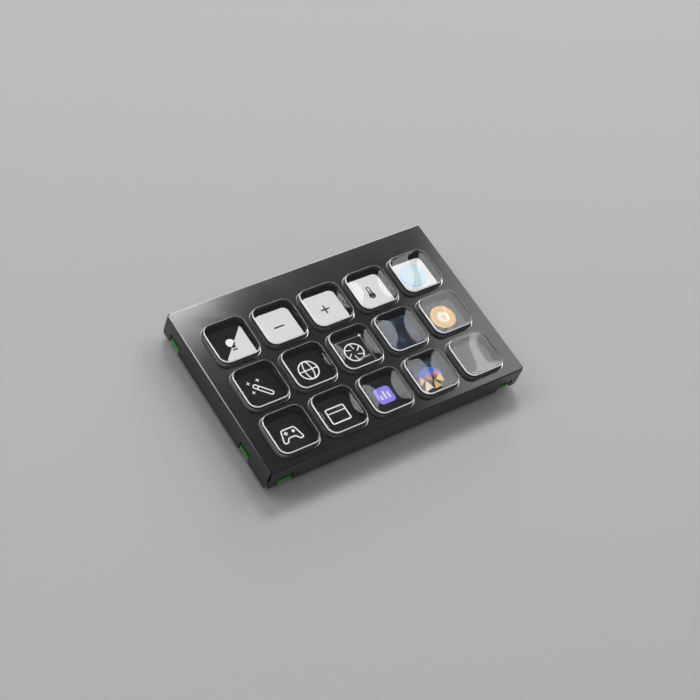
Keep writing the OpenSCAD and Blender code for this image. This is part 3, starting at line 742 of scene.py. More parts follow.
# %% [markdown]
# ## Pictures on the display
#
# Each key shows one square of the display. A picture is a thin rounded plate that glows, with
# flat signs laid on it in layers. The signs are everyday ones: a lamp, minus and plus, a
# thermometer, a dial, a wand, a globe, a shutter, a sun, a game pad, a window, a level meter,
# facets and bars. They are drawn as outlines in millimetres, so they stay sharp at any
# distance. The display's grid is a little tighter than the keys' and lies a little to one side.

# %% Display colours
TILE_HALF, TILE_RADIUS = 7.13, 2.4
TILE_PITCH_RATIO = 0.994
TILE_SHIFT = np.array([0.3, -0.35]) * MM
TILE_LIFT, LAYER, TILE_THICK = 0.02 * MM, 0.01 * MM, 0.008 * MM


def glow(name, color):
    """A lit display colour: it shines by itself and reflects next to nothing."""
    return new_material(name, base_color=(0.01, 0.01, 0.01), roughness=0.4, emission_color=color,
                        emission_strength=1.0, specular_ior_level=0.2)


DISPLAY_COLORS = {
    "white": (0.76, 0.745, 0.755), "ink": (0.018, 0.018, 0.022), "dark": (0.0038, 0.0038, 0.0048),
    "line": (0.92, 0.91, 0.92), "soft_line": (0.3, 0.3, 0.31), "ice": (0.46, 0.68, 0.79),
    "pale_ice": (0.57, 0.74, 0.81), "deep_ice": (0.28, 0.55, 0.71), "amber": (0.74, 0.43, 0.13),
    "pale_amber": (0.78, 0.56, 0.3), "violet": (0.27, 0.22, 0.85), "sky": (0.05, 0.12, 0.5),
    "navy": (0.01, 0.02, 0.07), "gold": (0.75, 0.45, 0.12), "flame": (0.55, 0.12, 0.03),
    "sand": (0.75, 0.6, 0.4), "leaf": (0.04, 0.14, 0.045), "grey": (0.045, 0.045, 0.05),
    "rose": (0.2, 0.05, 0.05), "teal": (0.03, 0.09, 0.1)}
lit = {name: glow("lit_" + name, color) for name, color in DISPLAY_COLORS.items()}
print("display colours:", len(lit))

# %% Drawing tools


def disc(x, y, radius, count=48):
    """A filled circle."""
    return filled(arc(x, y, radius, 0, 360, count + 1)[:-1])


def stroke(line, width, closed=False):
    """A line of even width: each point is moved to both sides along the mean normal of its
    two segments, and further where the line bends, so that the width stays the same."""
    line = np.asarray(line, float)
    before, after = np.roll(line, 1, 0), np.roll(line, -1, 0)
    if not closed:
        before[0] = 2 * line[0] - line[1]
        after[-1] = 2 * line[-1] - line[-2]
    into, onward = line - before, after - line
    into /= np.linalg.norm(into, axis=1)[:, None]
    onward /= np.linalg.norm(onward, axis=1)[:, None]
    mean = into + onward
    mean /= np.linalg.norm(mean, axis=1)[:, None]
    side = np.stack([-mean[:, 1], mean[:, 0]], 1) * (width / 2 / (mean * into).sum(1).clip(0.4))[:, None]
    n = len(line)
    i = np.arange(n if closed else n - 1)
    faces = np.stack([i, n + i, n + (i + 1) % n, (i + 1) % n], 1).tolist()
    return np.concatenate([line + side, line - side]), faces


def arc(x, y, radius, start, end, count=32):
    """Points of a circular arc between two angles in degrees."""
    a = np.radians(np.linspace(start, end, count))
    return np.stack([x + radius * np.cos(a), y + radius * np.sin(a)], 1)


def soft_box(x, y, w, h, r, count=8):
    """Outline of a rectangle with round corners."""
    corners = [(1, 1, 0), (-1, 1, 90), (-1, -1, 180), (1, -1, 270)]
    return np.concatenate([arc(x + sx * (w / 2 - r), y + sy * (h / 2 - r), r, a, a + 90, count)
                           for sx, sy, a in corners])


def filled(outline):
    """A filled outline, counter-clockwise."""
    return np.asarray(outline, float), [list(range(len(outline)))]


def bar(x, y, w, h, r, count=8):
    """A filled rectangle with round corners."""
    return filled(soft_box(x, y, w, h, r, count))


def ring(x, y, radius, width, count=48):
    """A circle drawn as a line."""
    return stroke(arc(x, y, radius, 0, 360, count + 1)[:-1], width, closed=True)


def star(x, y, r, waist=0.32):
    """A four-pointed star."""
    a = np.radians(np.arange(0, 360, 45) + 90)
    reach = np.where(np.arange(8) % 2, r * waist, r)
    return filled(np.stack([x + reach * np.cos(a), y + reach * np.sin(a)], 1))


def soft_corners(points, r, count=7):
    """A closed outline whose corners are bent: a curve (1-t)^2 a + 2t(1-t) p + t^2 b replaces
    each corner p, from a to b, which lie r from it on its two sides."""
    p = np.asarray(points, float)
    back, ahead = np.roll(p, 1, 0) - p, np.roll(p, -1, 0) - p
    a = p + back / np.linalg.norm(back, axis=1)[:, None] * r
    b = p + ahead / np.linalg.norm(ahead, axis=1)[:, None] * r
    t = np.linspace(0, 1, count)[None, :, None]
    return ((1 - t) ** 2 * a[:, None] + 2 * t * (1 - t) * p[:, None] + t ** 2 * b[:, None]).reshape(-1, 2)


def turned_flat(shape, degrees, x=0.0, y=0.0):
    """A flat shape turned about its origin and then moved."""
    points, faces = shape
    c, s = np.cos(np.radians(degrees)), np.sin(np.radians(degrees))
    return points @ np.array([[c, s], [-s, c]]) + (x, y), faces


# %% Picture builder
def picture(key, background, *signs):
    """A tile of the display: its glowing plate, then its signs, each as (colour, shape, shape...),
    every shape a layer higher. Shapes are drawn in millimetres from the tile's middle."""
    plate = bar(0, 0, 2 * TILE_HALF, 2 * TILE_HALF, TILE_RADIUS, 10)
    shapes = [(shape, color) for color, *group in ((background, plate), *signs) for shape in group]
    names = list(dict.fromkeys(color for _, color in shapes))
    centre = key_centre(key) * (TILE_PITCH_RATIO, 1) + TILE_SHIFT
    layers, parts = [], []
    for layer, ((flat, cells), color) in enumerate(shapes):
        height = GLASS_TOP + TILE_LIFT + LAYER * layer
        layers.append((level(flat * MM + centre, height), cells))
        parts += [names.index(color)] * len(cells)
    points, faces = joined(*layers)
    piece = new_piece("picture_" + key, points, faces, "housing",
                      [lit[name] for name in names], parts, smooth=False)
    add_modifier(piece, "SOLIDIFY", thickness=TILE_THICK, offset=-1)


# %% [markdown]
# The lamp sign stands on a tile that is lit below its diagonal and dark above it, and the sign
# itself changes colour where it crosses. So its two halves are separate outlines. The tile's
# lit half is the run of its outline below the diagonal, which starts after the widest gap.

# %% Rear row
DIAGONAL_DROP = 0.5
tile_edge = soft_box(0, 0, 2 * TILE_HALF, 2 * TILE_HALF, TILE_RADIUS, 46)
lower_half = tile_edge[tile_edge[:, 1] < tile_edge[:, 0] - DIAGONAL_DROP]
start = np.argmax(np.linalg.norm(np.roll(lower_half, -1, 0) - lower_half, axis=1)) + 1
lower_half = np.roll(lower_half, -start, 0)
bulb_x, bulb_y, bulb_r = -0.1, 0.9, 1.75
bulb_lift = (bulb_y - bulb_x + DIAGONAL_DROP) / np.sqrt(2)
spread = np.degrees(np.arccos(bulb_lift / bulb_r))
upper_bulb = arc(bulb_x, bulb_y, bulb_r, spread - 45, 315 - spread, 40)
lower_bulb = arc(bulb_x, bulb_y, bulb_r, -45 - spread, spread - 45, 20)
neck = [(bulb_x + 1.25, bulb_y - 0.9), (bulb_x - 0.4, bulb_y - 1.6), (bulb_x - 0.4, bulb_y - 2.35),
        (bulb_x + 1.15, bulb_y - 2.35)]
picture("r1c1", "dark", ("white", filled(lower_half)), ("line", filled(upper_bulb)),
        ("ink", filled(lower_bulb), filled(neck), bar(bulb_x + 0.4, bulb_y - 3.15, 1.9, 0.6, 0.25)))
picture("r1c2", "white", ("ink", bar(-0.1, 0.1, 4.3, 0.66, 0.14)))
picture("r1c3", "white", ("ink", bar(-0.1, 0.1, 3.8, 0.62, 0.14), bar(-0.1, 0.1, 0.62, 3.8, 0.14)))
stem = np.concatenate([arc(0, 1.95, 0.62, 0, 180, 14), arc(0, -1.35, 1.15, 127, 413, 30)])
picture("r1c4", "white",
        ("ink", stroke(stem, 0.46, closed=True), disc(0, -1.35, 1.0), bar(0, -0.2, 0.42, 2.2, 0.15)),
        ("white", stroke(arc(0, -1.35, 0.55, 200, 300, 12), 0.14)))
picture("r1c5", "white", ("ice", disc(-0.3, 0.4, 5.3, 72)), ("pale_ice", disc(-0.1, 0.6, 4.75, 72)),
        ("ice", disc(-0.2, 0.5, 3.5, 60)), ("pale_ice", disc(-0.1, 0.6, 3.2, 60)),
        ("white", disc(-0.2, 0.5, 1.9)), ("pale_ice", disc(-0.2, 0.5, 1.5)),
        ("deep_ice", stroke(arc(-0.3, 0.4, 5.15, 175, 300, 30), 0.3)))

# %% Middle row
wand = stroke(soft_box(0, 0, 7.6, 1.5, 0.6), 0.45, closed=True), stroke([(-2.0, -0.6), (-2.0, 0.6)], 0.45)
picture("r2c1", "dark", ("line", *[turned_flat(part, -46, 0.75, -0.55) for part in wand],
                         *[star(x, y, 0.95) for x, y in ((-3.2, 3.7), (0.7, 3.75), (-3.2, -0.4))]))
meridian = arc(0, 0, 1, 0, 360, 49)[:-1] * (1.55, 3.85)
picture("r2c2", "dark", ("line", ring(0, 0, 3.85, 0.5, 64), stroke(meridian, 0.45, closed=True),
                         stroke([(-3.7, 0.1), (3.7, 0.1)], 0.45)))
blade = np.array([(1.35, -0.1), (3.35, 1.15)])
blades = joined(*[turned_flat(stroke(blade, 0.4), 60 * n) for n in range(6)])
picture("r2c3", "dark", ("line", ring(-0.3, 0, 3.75, 0.5, 64), turned_flat(blades, 10, -0.3, 0)),
        ("soft_line", stroke([(-6.2, 5.7), (5.6, 5.7), (5.6, -5.8)], 0.24)),
        ("line", star(5.6, 5.7, 0.8, 0.4)), ("soft_line", bar(2.3, -3.3, 5.2, 0.7, 0.34)))
picture("r2c4", "navy")
picture("r2c5", "grey", ("pale_amber", disc(-0.2, 0.1, 5.0, 72)), ("amber", disc(0.0, -0.1, 4.6, 72)),
        ("sand", disc(-0.2, 0.1, 2.6, 60)), ("white", disc(-0.2, 0.1, 2.2)),
        ("pale_amber", disc(0.1, -0.3, 1.1)))

# %% Front row
game_pad = soft_corners([(-4.1, -2.5), (-2.6, -2.9), (-1.5, -1.1), (1.5, -1.1), (2.6, -2.9), (4.1, -2.5),
                         (2.7, 2.5), (-2.7, 2.5)], 0.75)
picture("r3c1", "dark", ("line", stroke(game_pad, 0.5, closed=True), stroke([(-2.3, 0.9), (-0.7, 0.9)], 0.5),
                         stroke([(-1.5, 0.1), (-1.5, 1.7)], 0.5), disc(1.6, 0.9, 0.62, 24)))
picture("r3c2", "dark", ("line", stroke(soft_box(-0.1, 0.2, 7.7, 6.2, 0.6), 0.5, closed=True),
                         stroke([(-3.8, 1.35), (3.6, 1.35)], 0.4)),
        ("leaf", *[disc(x, 2.3, 0.28, 16) for x in (1.1, 1.95, 2.8)]))
picture("r3c3", "dark", ("violet", bar(-0.1, 0.2, 6.9, 6.9, 1.5)),
        ("white", bar(-1.75, -0.5, 0.85, 2.0, 0.35), bar(-0.1, 0.3, 0.85, 3.6, 0.35),
         bar(1.55, -0.1, 0.85, 2.8, 0.35)))
picture("r3c4", "navy", ("sky", filled(arc(0.4, -1.0, 5.2, 10, 170, 40))),
        ("gold", filled([(-5.6, -2.2), (-2.6, -0.6), (-4.2, 1.2)])),
        ("sand", filled([(-5.4, -5.0), (-1.2, -4.6), (-2.6, -0.8)])),
        ("gold", filled([(-1.0, -5.2), (2.2, -5.0), (0.6, -1.6)])),
        ("flame", filled([(-2.2, -0.6), (0.4, -1.7), (-0.6, 2.2)])),
        ("amber", filled([(1.0, -1.8), (4.2, -3.8), (4.6, 0.4)])),
        ("flame", filled([(1.2, -1.2), (4.2, 0.8), (2.2, 1.7)])))
picture("r3c5", "grey", ("rose", bar(1.4, 0.9, 3.2, 0.4, 0.2)), ("teal", bar(1.1, -0.4, 2.6, 0.4, 0.2)),
        ("rose", bar(1.5, -1.7, 3.4, 0.4, 0.2)))
print("pictures on", len(KEYS), "keys")

# %% [markdown]
# The navy ground of two tiles isn't even: dark blues drift slowly across it, and on one of them
# nothing else shows. One wide noise makes the drift, and a ramp turns it into the light's
# colour, from navy to teal.

# %% Drifting blues
drift = lit["navy"]
drift_ramp = add_node(drift, "ValToRGB", {"Fac": object_noise(drift, 240, detail=2).outputs[0]})
stops = drift_ramp.color_ramp.elements
for stop_at, color in ((0.38, (0.004, 0.005, 0.012)), (0.52, (0.008, 0.018, 0.045)),
                       (0.64, (0.035, 0.09, 0.12))):
    stops.new(stop_at).color = (*color, 1)
stops.remove(stops[0])
stops.remove(stops[-1])
to_shader(drift, "Emission Color", drift_ramp.outputs[0])

# %% [markdown]
# ## The circuit board
#
# The board shows at the skirts' notches and all over the back. Solder mask is a thin glossy coat, darker
# where it lies on bare fibreglass and lighter over copper. The routed edge has no mask, so its coarse
# fibreglass shows with streaks across the edge; its brighter green is partly that fibreglass and partly a
# painted highlight for the light the edge catches. A merged copy of the board gets both finishes by the
# direction of its faces.

# %% Board finishes
mask_green = uneven("solder_mask_green", 160, (0.22, 0.36), ((0.016, 0.115, 0.026), (0.026, 0.155, 0.036)),
                    detail=4, base_color=(0.02, 0.13, 0.03), roughness=0.28, coat_weight=0.15,
                    coat_roughness=0.1, specular_ior_level=0.3)
bump(mask_green, object_noise(mask_green, 3000, detail=2), 0.004 * MM, 0.5)

# bare fibreglass edge, its brighter green also a painted highlight on the lit edge
fibre_and_edge_highlight = new_material("routed_fibreglass_and_edge_highlight", base_color=(0.05, 0.3, 0.05), roughness=0.6,
                           specular_ior_level=0.15)
fibre = object_noise(fibre_and_edge_highlight, 1600, stretch=(1, 1, 6))
mix_color(fibre_and_edge_highlight, fibre.outputs[0], (0.028, 0.22, 0.03), (0.075, 0.37, 0.06))
bump(fibre_and_edge_highlight, fibre, 0.02 * MM, 0.6)
SIDEWAYS = 0.5


def edge_parts(mesh):
    """1 where a face looks sideways, 0 where it looks up or down."""
    return (abs(read_mesh(mesh.polygons, "normal", 3)[:, 2]) < SIDEWAYS).astype(int)


board_copy = smooth_copy("main_board", "green_board", "board_green", [mask_green, fibre_and_edge_highlight],
                         parts=edge_parts)
dress(uneven("contact_board_mask", 200, tones=((0.01, 0.065, 0.024), (0.016, 0.1, 0.036)),
             base_color=(0.012, 0.08, 0.03), roughness=0.4), "contact_board")
print("board:", len(board_copy.data.polygons), "faces")

# %% [markdown]
# Copper tracks run in bundles: out of a row of leads, across at 45 degrees, and on to the next
# part. A track is a flat strip along such an elbow. Vias are small tinned rings beside them,
# and a white ink outline is printed round each part. All of them are thin plates on the back,
# drawn in millimetres.

# %% Tracks
track_green = uneven("masked_copper", 400, tones=((0.04, 0.2, 0.05), (0.065, 0.27, 0.075)),
                     base_color=(0.05, 0.24, 0.06), roughness=0.3, coat_weight=0.4, coat_roughness=0.1)
TRACK_W, FINE_W, POWER_W = 0.22, 0.2, 0.9
TRACK_PROUD, TRACK_SUNK, SHORTEST_RUN = 0.025 * MM, 0.02 * MM, 0.01


def elbow(start, end, first):
    """A track between two points: straight along axis `first`, then 45 degrees, then straight on.
    The slanted run takes up the whole offset across the axis."""
    start, end = np.asarray(start, float), np.asarray(end, float)
    along, across = (end - start)[first], (end - start)[1 - first]
    straight = (abs(along) - abs(across)) / 2
    step = np.zeros((2, 2))
    step[0, first] = np.sign(along) * straight
    step[1, first], step[1, 1 - first] = np.sign(along) * abs(across), across
    return np.array([start, start + step[0], start + step[0] + step[1], end])


def bundle(points, turns=(0,), width=TRACK_W):
    """Tracks side by side. Points are rows of points: track i runs from point i of each row to
    point i of the next, and turns gives the axis along which each run starts."""
    strips = []
    for i in range(len(points[0])):
        runs = [elbow(a[i], b[i], turn) for a, b, turn in zip(points, points[1:], turns)]
        line = np.concatenate([runs[0], *[run[1:] for run in runs[1:]]])
        moved = abs(np.diff(line, axis=0)).sum(1) > SHORTEST_RUN
        strips.append(stroke(line[np.r_[True, moved]], width))
    return joined(*strips)


def row(x, y, count, dx=0.0, dy=0.0):
    """Evenly spaced points."""
    return np.array([x, y]) + np.arange(count)[:, None] * (dx, dy)


def on_back(name, shape, material, depth=TRACK_PROUD):
    """A flat shape as a thin plate on the board's back, its lower face at depth below it."""
    flat, cells = shape
    points = level(flat * MM, BOARD_BACK + TRACK_SUNK)
    piece = new_piece(name, points, cells, "housing", [material], smooth=False)
    add_modifier(piece, "SOLIDIFY", thickness=depth + TRACK_SUNK, offset=-1)


to_panel = [row(-15.2, -7.75, 14, dy=0.5), row(-41, -1.5, 14, dx=0.5, dy=0.5), row(-32.5, 20.2, 14, dx=1.0)]
to_keys = [row(-2.8, -2.75, 8, dy=0.5), row(28, 4.0, 8, dx=-0.5, dy=0.5), row(34.5, 21.8, 8, dx=-1.2)]
to_flash = [row(-2.8, -7.9, 4, dy=1.0), row(7.2, -7.9, 4, dy=1.27)]
to_usb = [row(-11.25, 2.2, 10, dx=0.5), row(-3.6, 27.6, 10, dx=0.8)]
to_front = [row(-12.5, -10.2, 16, dx=0.5), row(-30, -30.5, 16, dx=1.0)]
to_side = [row(14.8, -7.9, 4, dy=1.27), row(42, -20, 4, dy=1.4)]
power = [row(9.6, 14.2, 2, dy=1.5), row(14.1, 11.4, 2, dy=1.3)]
tracks = joined(bundle(to_panel, (0, 1), FINE_W), bundle(to_keys, (0, 1), FINE_W), bundle(to_flash),
                bundle(to_usb, (1,), FINE_W), bundle(to_front, (1,)), bundle(to_side),
                bundle(power, (0,), POWER_W))
on_back("board_tracks", tracks, track_green)
print("tracks:", len(tracks[1]), "strips")

# %% Vias
tin_bright = uneven("tinned_pad", 2500, (0.22, 0.45), base_color=(0.66, 0.67, 0.68), metallic=1.0,
                    roughness=0.3)
VIA_PROFILE = [(0.3, 0.02), (0.3, -0.035), (0.26, -0.045), (0.16, -0.04), (0.13, 0.0)]
via_places = np.vstack([to_front[-1][::2] - (0, 0.5), to_side[-1] + (0.5, 0), row(-50, -33.4, 26, dx=4.0),
                        row(-52.6, -22, 11, dy=4.0), row(52.6, -22, 11, dy=4.0), row(-10, 33.2, 2, dx=-3.0),
                        row(8, 33.2, 5, dx=3.0), row(40, 33.2, 3, dx=-2.5), row(-7, -2.0, 3, dx=3.5, dy=-1.5),
                        row(20, 17.0, 3, dy=-2.0), row(-24, 8, 4, dx=1.6), row(30, -10, 4, dx=2.0)])
vias = repeated(turned(VIA_PROFILE, 16), [(*at, BOARD_BACK / MM) for at in via_places])
housing_piece("board_vias", (vias[0], [face[::-1] for face in vias[1]]), tin_bright, True)
print("vias:", len(via_places))

# %% Solder pads
PAD_ROUND, PAD_PROUD = 0.2, 0.035 * MM
SIDES = (-1, 1)


def pads(places, w, h):
    """Tinned rectangles of one size, by their middles."""
    return [bar(x, y, w, h, min(w, h) * PAD_ROUND, 3) for x, y in places]


fingers = np.linspace(-3.75, 3.75, 16)
flash_leads = (-1.905, -0.635, 0.635, 1.905)
capacitor_ends = [(x + s * 0.75, y) for x in (-15, -12, -9, -6, -3) for y in (4.4, -12.4) for s in SIDES]
solder = [*pads(capacitor_ends, 0.75, 1.1),
          *pads([(-9 + t, -4 + s * 5.75) for t in fingers for s in SIDES], 0.3, 1.1),
          *pads([(-9 + s * 5.75, -4 + t) for t in fingers for s in SIDES], 1.1, 0.3),
          *pads([(11 + s * 3.4, -6 + t) for t in flash_leads for s in SIDES], 1.2, 0.6),
          *pads([(7 + s * 2.15, 15) for s in SIDES], 1.2, 2.6),
          *pads([(-20 + s * 1.4, -10 + t) for s in SIDES for t in (-0.9, 0.9)], 0.8, 0.9),
          *pads([(16 + s * 1.4, 12 + t) for s in SIDES for t in (-1, -0.5, 0, 0.5, 1)], 0.9, 0.35),
          *pads([(-26 + t, 21.6) for t in np.arange(-12, 12.1, 1.0)], 0.3, 1.5),
          *pads([(30 + t, 23.2) for t in np.arange(-6, 6.1, 1.0)], 0.4, 1.7)]
test_points = [*[disc(x, -27.0, 0.75, 20) for x in np.arange(-8, 9, 3.2)],
               *[disc(38.5, y, 0.7, 20) for y in (28, 25.5)]]
on_back("solder_pads", joined(*solder, *test_points), tin_bright, PAD_PROUD)
print("pads:", len(solder))

# %% White print
print_ink = uneven("white_print", 900, tones=((0.6, 0.61, 0.6), (0.8, 0.81, 0.79)), detail=4,
                   base_color=(0.72, 0.73, 0.71), roughness=0.6)
STANDOFFS = [(sx * 48, sy * 29) for sx in SIDES for sy in SIDES]
THIN_LINE, BOLD_LINE = 0.15, 0.18


def frame_line(x, y, w, h, width=THIN_LINE):
    """A printed rectangle."""
    return stroke(soft_box(x, y, w, h, 0.2, 3), width, closed=True)


outlines = [frame_line(-9, -4, 13.6, 13.6, BOLD_LINE), frame_line(11, -6, 8.8, 5.8),
            frame_line(-20, -10, 4.4, 3.6), frame_line(16, 12, 4.6, 3.9),
            frame_line(7, 15, 6.6, 5.2, BOLD_LINE), frame_line(-26, 23.2, 29.5, 6.2, BOLD_LINE),
            frame_line(30, 25, 17.5, 6.6, BOLD_LINE), frame_line(0, -27, 20.5, 3.0)]
outlines += [disc(x, y, 0.28, 16) for x, y in ((-15.0, 1.9), (7.2, -2.5), (-10.6, 19.4), (38, 21.2))]
outlines += [ring(x, y, 3.9, 0.2) for x, y in STANDOFFS]
on_back("white_outlines", joined(*outlines), print_ink)
print("printed lines:", len(outlines))

# %% [markdown]
# ## Chips and small parts
#
# Moulded packages are dark epoxy with a fine grain. Their leads are tinned copper. A ceramic
# capacitor and a resistor each have two tinned ends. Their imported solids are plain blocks, so
# copies of them get two finishes: a face is an end where it lies far enough along its block.

# %% Chips, coil and crystal
chip_black = moulded("package_epoxy", (0.017, 0.017, 0.018), 0.55, 0.006)
coil_grey = moulded("ferrite_grey", (0.05, 0.052, 0.056), 0.65, 0.01)
crystal_can = uneven("crystal_can", 1800, (0.2, 0.38), stretch=(0.2, 1, 1), base_color=(0.68, 0.68, 0.67),
                     metallic=1.0, roughness=0.28)
lead_tin = uneven("tinned_lead", 3000, (0.26, 0.46), base_color=(0.6, 0.61, 0.62), metallic=1.0,
                  roughness=0.34)
dress(chip_black, "processor", "flash_chip", "regulator")
dress(coil_grey, "power_coil")
dress(crystal_can, "crystal")
dress(lead_tin, "processor_leads", "flash_leads")
print("chips dressed")

# %% Capacitors and resistors
ceramic_tan = uneven("capacitor_ceramic", 2500, tones=((0.25, 0.16, 0.095), (0.36, 0.25, 0.16)),
                     base_color=(0.3, 0.2, 0.12), roughness=0.5)
glaze_black = uneven("resistor_glaze", 2500, (0.18, 0.34), base_color=(0.012, 0.012, 0.013), roughness=0.25)
END_FROM = 0.41


def end_parts(mesh):
    """1 where a face lies more than END_FROM mm from the middle of its block along the block."""
    low, high, part = loose_parts(mesh)
    middle, longest = (low + high) / 2, (high - low).argmax(1)
    centre = read_mesh(mesh.polygons, "center", 3) / MM
    offset = abs(centre - middle[part])[np.arange(len(part)), longest[part]]
    return (offset > END_FROM).astype(int)


smooth_copy("capacitors", "ceramic_capacitors", "capacitor_tan", [ceramic_tan, tin_bright], parts=end_parts)
smooth_copy("resistors", "chip_resistors", "resistor_black", [glaze_black, tin_bright], parts=end_parts)
print("two-ended parts made")

# %% [markdown]
# ## Sockets, ribbons and standoffs
#
# The ribbons are polyimide film over copper lines, so a wave across the ribbon gives it its
# stripes. Blender's wave turns through 20 radians in a unit of length at scale 1, which gives
# the scale for a stripe each millimetre. The sockets are ivory plastic with a row of tinned
# feet. A standoff is turned brass: the lathe leaves rings round it, and its bore is threaded.

# %% Sockets and ribbons
dress(moulded("socket_ivory", (0.62, 0.58, 0.48), 0.45, 0.006), "display_socket", "keypad_socket")
ribbon_amber = uneven("polyimide_ribbon", 500, (0.24, 0.38), base_color=(0.42, 0.18, 0.03), roughness=0.3,
                      coat_weight=0.3)
RIBBON_PITCH, WAVE_RATE = 1.0 * MM, 20
ribbon_coords = add_node(ribbon_amber, "TexCoord")
ribbon_lines = add_node(ribbon_amber, "TexWave", {"Vector": ribbon_coords.outputs["Object"],
                                                   "Scale": 2 * np.pi / (WAVE_RATE * RIBBON_PITCH)},
                        bands_direction="X")
mix_color(ribbon_amber, ribbon_lines.outputs[0], (0.27, 0.1, 0.015), (0.52, 0.26, 0.06))
dress(ribbon_amber, "display_ribbon", "keypad_ribbon")


def block(x, y, z, w, d, h):
    """A box by its middle and size, as points and outward faces."""
    corner = np.array([(i, j, k) for k in (-1, 1) for j in (-1, 1) for i in (-1, 1)], float) / 2
    faces = [[0, 2, 3, 1], [4, 5, 7, 6], [0, 1, 5, 4], [2, 6, 7, 3], [0, 4, 6, 2], [1, 3, 7, 5]]
    return corner * (w, d, h) + (x, y, z), faces


def foot_row(name, low, high, y):
    """Tinned feet a millimetre apart under the front side of a socket, from x low to x high."""
    foot = joined(block(0, 0.15, -0.12, 0.22, 1.3, 0.16), block(0, 0.7, -0.3, 0.22, 0.16, 0.5))
    places = [(x, y, BOARD_BACK / MM) for x in range(low, high + 1)]
    housing_piece(name, repeated(foot, places), lead_tin)


foot_row("display_socket_feet", -38, -14, 21.6)
foot_row("keypad_socket_feet", 24, 36, 23.3)
print("sockets and ribbons dressed")

# %% USB socket
usb_steel = uneven("usb_shell_steel", 1800, (0.22, 0.4), ((0.54, 0.55, 0.56), (0.68, 0.69, 0.7)),
                   stretch=(1, 0.06, 1), base_color=(0.6, 0.61, 0.62), metallic=1.0, roughness=0.3)
smooth_copy("usb_shell", "usb_shell_skin", "usb_steel", [usb_steel], angle=40)
dress(moulded("usb_tongue_moulding", (0.011, 0.011, 0.012), 0.45), "usb_tongue")

contact_gold = uneven("gold_contacts", 2500, (0.18, 0.34), base_color=(0.83, 0.6, 0.24), metallic=1.0,
                      roughness=0.25)
TONGUE_HALF, CONTACT_BACK = 0.35, 1.75
contact_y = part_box("usb_tongue")[1].y / MM - CONTACT_BACK
tongue_mid = (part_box("usb_shell")[0].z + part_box("usb_shell")[1].z) / 2 / MM
contact_x = np.linspace(-2.75, 2.75, 12)
contact_places = [(x, contact_y, tongue_mid + side * TONGUE_HALF) for side in SIDES for x in contact_x]
contacts = repeated(block(0, 0, 0, 0.26, 2.6, 0.06), contact_places)
housing_piece("usb_contacts", contacts, contact_gold)
print("contacts:", len(contact_places))

# %% [markdown]
# The thread is a ridge that runs up the bore on a helix. At angle t it stands at height
# pitch * t / 2 pi, and its section is a triangle: two points in the wall and one towards the
# axis. Carrying that triangle along the helix gives a closed tube once its ends are capped.

# %% Threaded standoffs
turned_brass = uneven("turned_brass", 1400, (0.18, 0.36), ((0.62, 0.41, 0.15), (0.8, 0.58, 0.27)), detail=2,
                      stretch=(0.02, 0.02, 1), base_color=(0.72, 0.5, 0.2), metallic=1.0, roughness=0.25)
smooth_copy("standoffs", "brass_standoffs", "brass", [turned_brass], angle=35)

THREAD_PITCH, THREAD_TURNS, THREAD_STEPS = 0.5, 8, 18
BORE_R, CREST_R, THREAD_START = 1.28, 1.06, 0.4


def thread_ridge():
    """A triangular ridge on a helix, in millimetres about the Z axis."""
    t = np.linspace(0, 2 * np.pi * THREAD_TURNS, THREAD_TURNS * THREAD_STEPS + 1)
    rings = np.array([(BORE_R, -0.2), (BORE_R, 0.2), (CREST_R, 0.0)])
    r = rings[None, :, 0]
    z = THREAD_START + THREAD_PITCH * t[:, None] / (2 * np.pi) + rings[None, :, 1]
    points = np.stack([r * np.cos(t)[:, None], r * np.sin(t)[:, None], z], -1).reshape(-1, 3)
    last = len(points) - 3
    return points, [*grid_faces(len(t), 3)[:, ::-1].tolist(), [0, 1, 2], [last + 2, last + 1, last]]


threads = repeated(thread_ridge(), [(*at, 0) for at in STANDOFFS])
housing_piece("standoff_threads", threads, turned_brass)
print("threads:", len(threads[1]), "faces")

# %% [markdown]
# ## Stage, lights and camera
#
# The floor is a round sheet of paper whose rim curves up into a wall, so no edge shows behind
# the object. It is the profile of that curve turned about Z, with its faces turned inwards.

# %% Floor
floor_paper = new_material("floor_paper", base_color=(0.38, 0.38, 0.38), roughness=0.75,
                           specular_ior_level=0.25)
FLOOR_POLE, FLOOR_REACH, COVE_RADIUS, WALL_TOP = 0.001, 2.2, 0.5, 1.1
cove = np.radians(np.linspace(-90, 0, 13))[1:]
cove_start = FLOOR_REACH - COVE_RADIUS
floor_profile = [(FLOOR_POLE, 0), (cove_start, 0),
                 *zip(cove_start + COVE_RADIUS * np.cos(cove), COVE_RADIUS + COVE_RADIUS * np.sin(cove)),
                 (FLOOR_REACH, WALL_TOP)]
floor_points, floor_faces = turned(floor_profile, 96)
floor_inside = [face[::-1] for face in floor_faces[:-1]]
floor = place("studio_floor", array_mesh("studio_floor", floor_points, floor_inside, [floor_paper]))
print("floor:", len(floor_inside), "faces")

# %% [markdown]
# The lamps are large, so that reflections and shadows are soft. One round softbox makes both
# reflections in each cap. Four lamps are there for the plate, the window edges and the films.
# The caps and their joints are flagged from those, because they would veil the pictures.

# %% Softboxes
LAMP_HEIGHT = 2.0


def area_lamp(name, at, turn, size, radiance, keep_off, shape="RECTANGLE"):
    """A lamp whose face is that bright (1 is white). It sends radiance * pi * its face's area.
    Its light is kept off the pieces in keep_off, as a studio flag does."""
    light = bpy.data.lights.new(name, "AREA")
    light.shape = shape
    light.size, light.size_y = size
    fullness = np.pi / 4 if shape == "ELLIPSE" else 1
    light.energy = radiance * np.pi * light.size * light.size_y * fullness
    lamp = place(name, light)
    lamp.location, lamp.rotation_euler = at, turn
    if keep_off:
        flags = bpy.data.collections.new(name + "_flags")
        for piece in keep_off:
            flags.objects.link(piece)
        for entry in flags.collection_objects:
            entry.light_linking.link_state = "EXCLUDE"
        lamp.light_linking.receiver_collection = flags


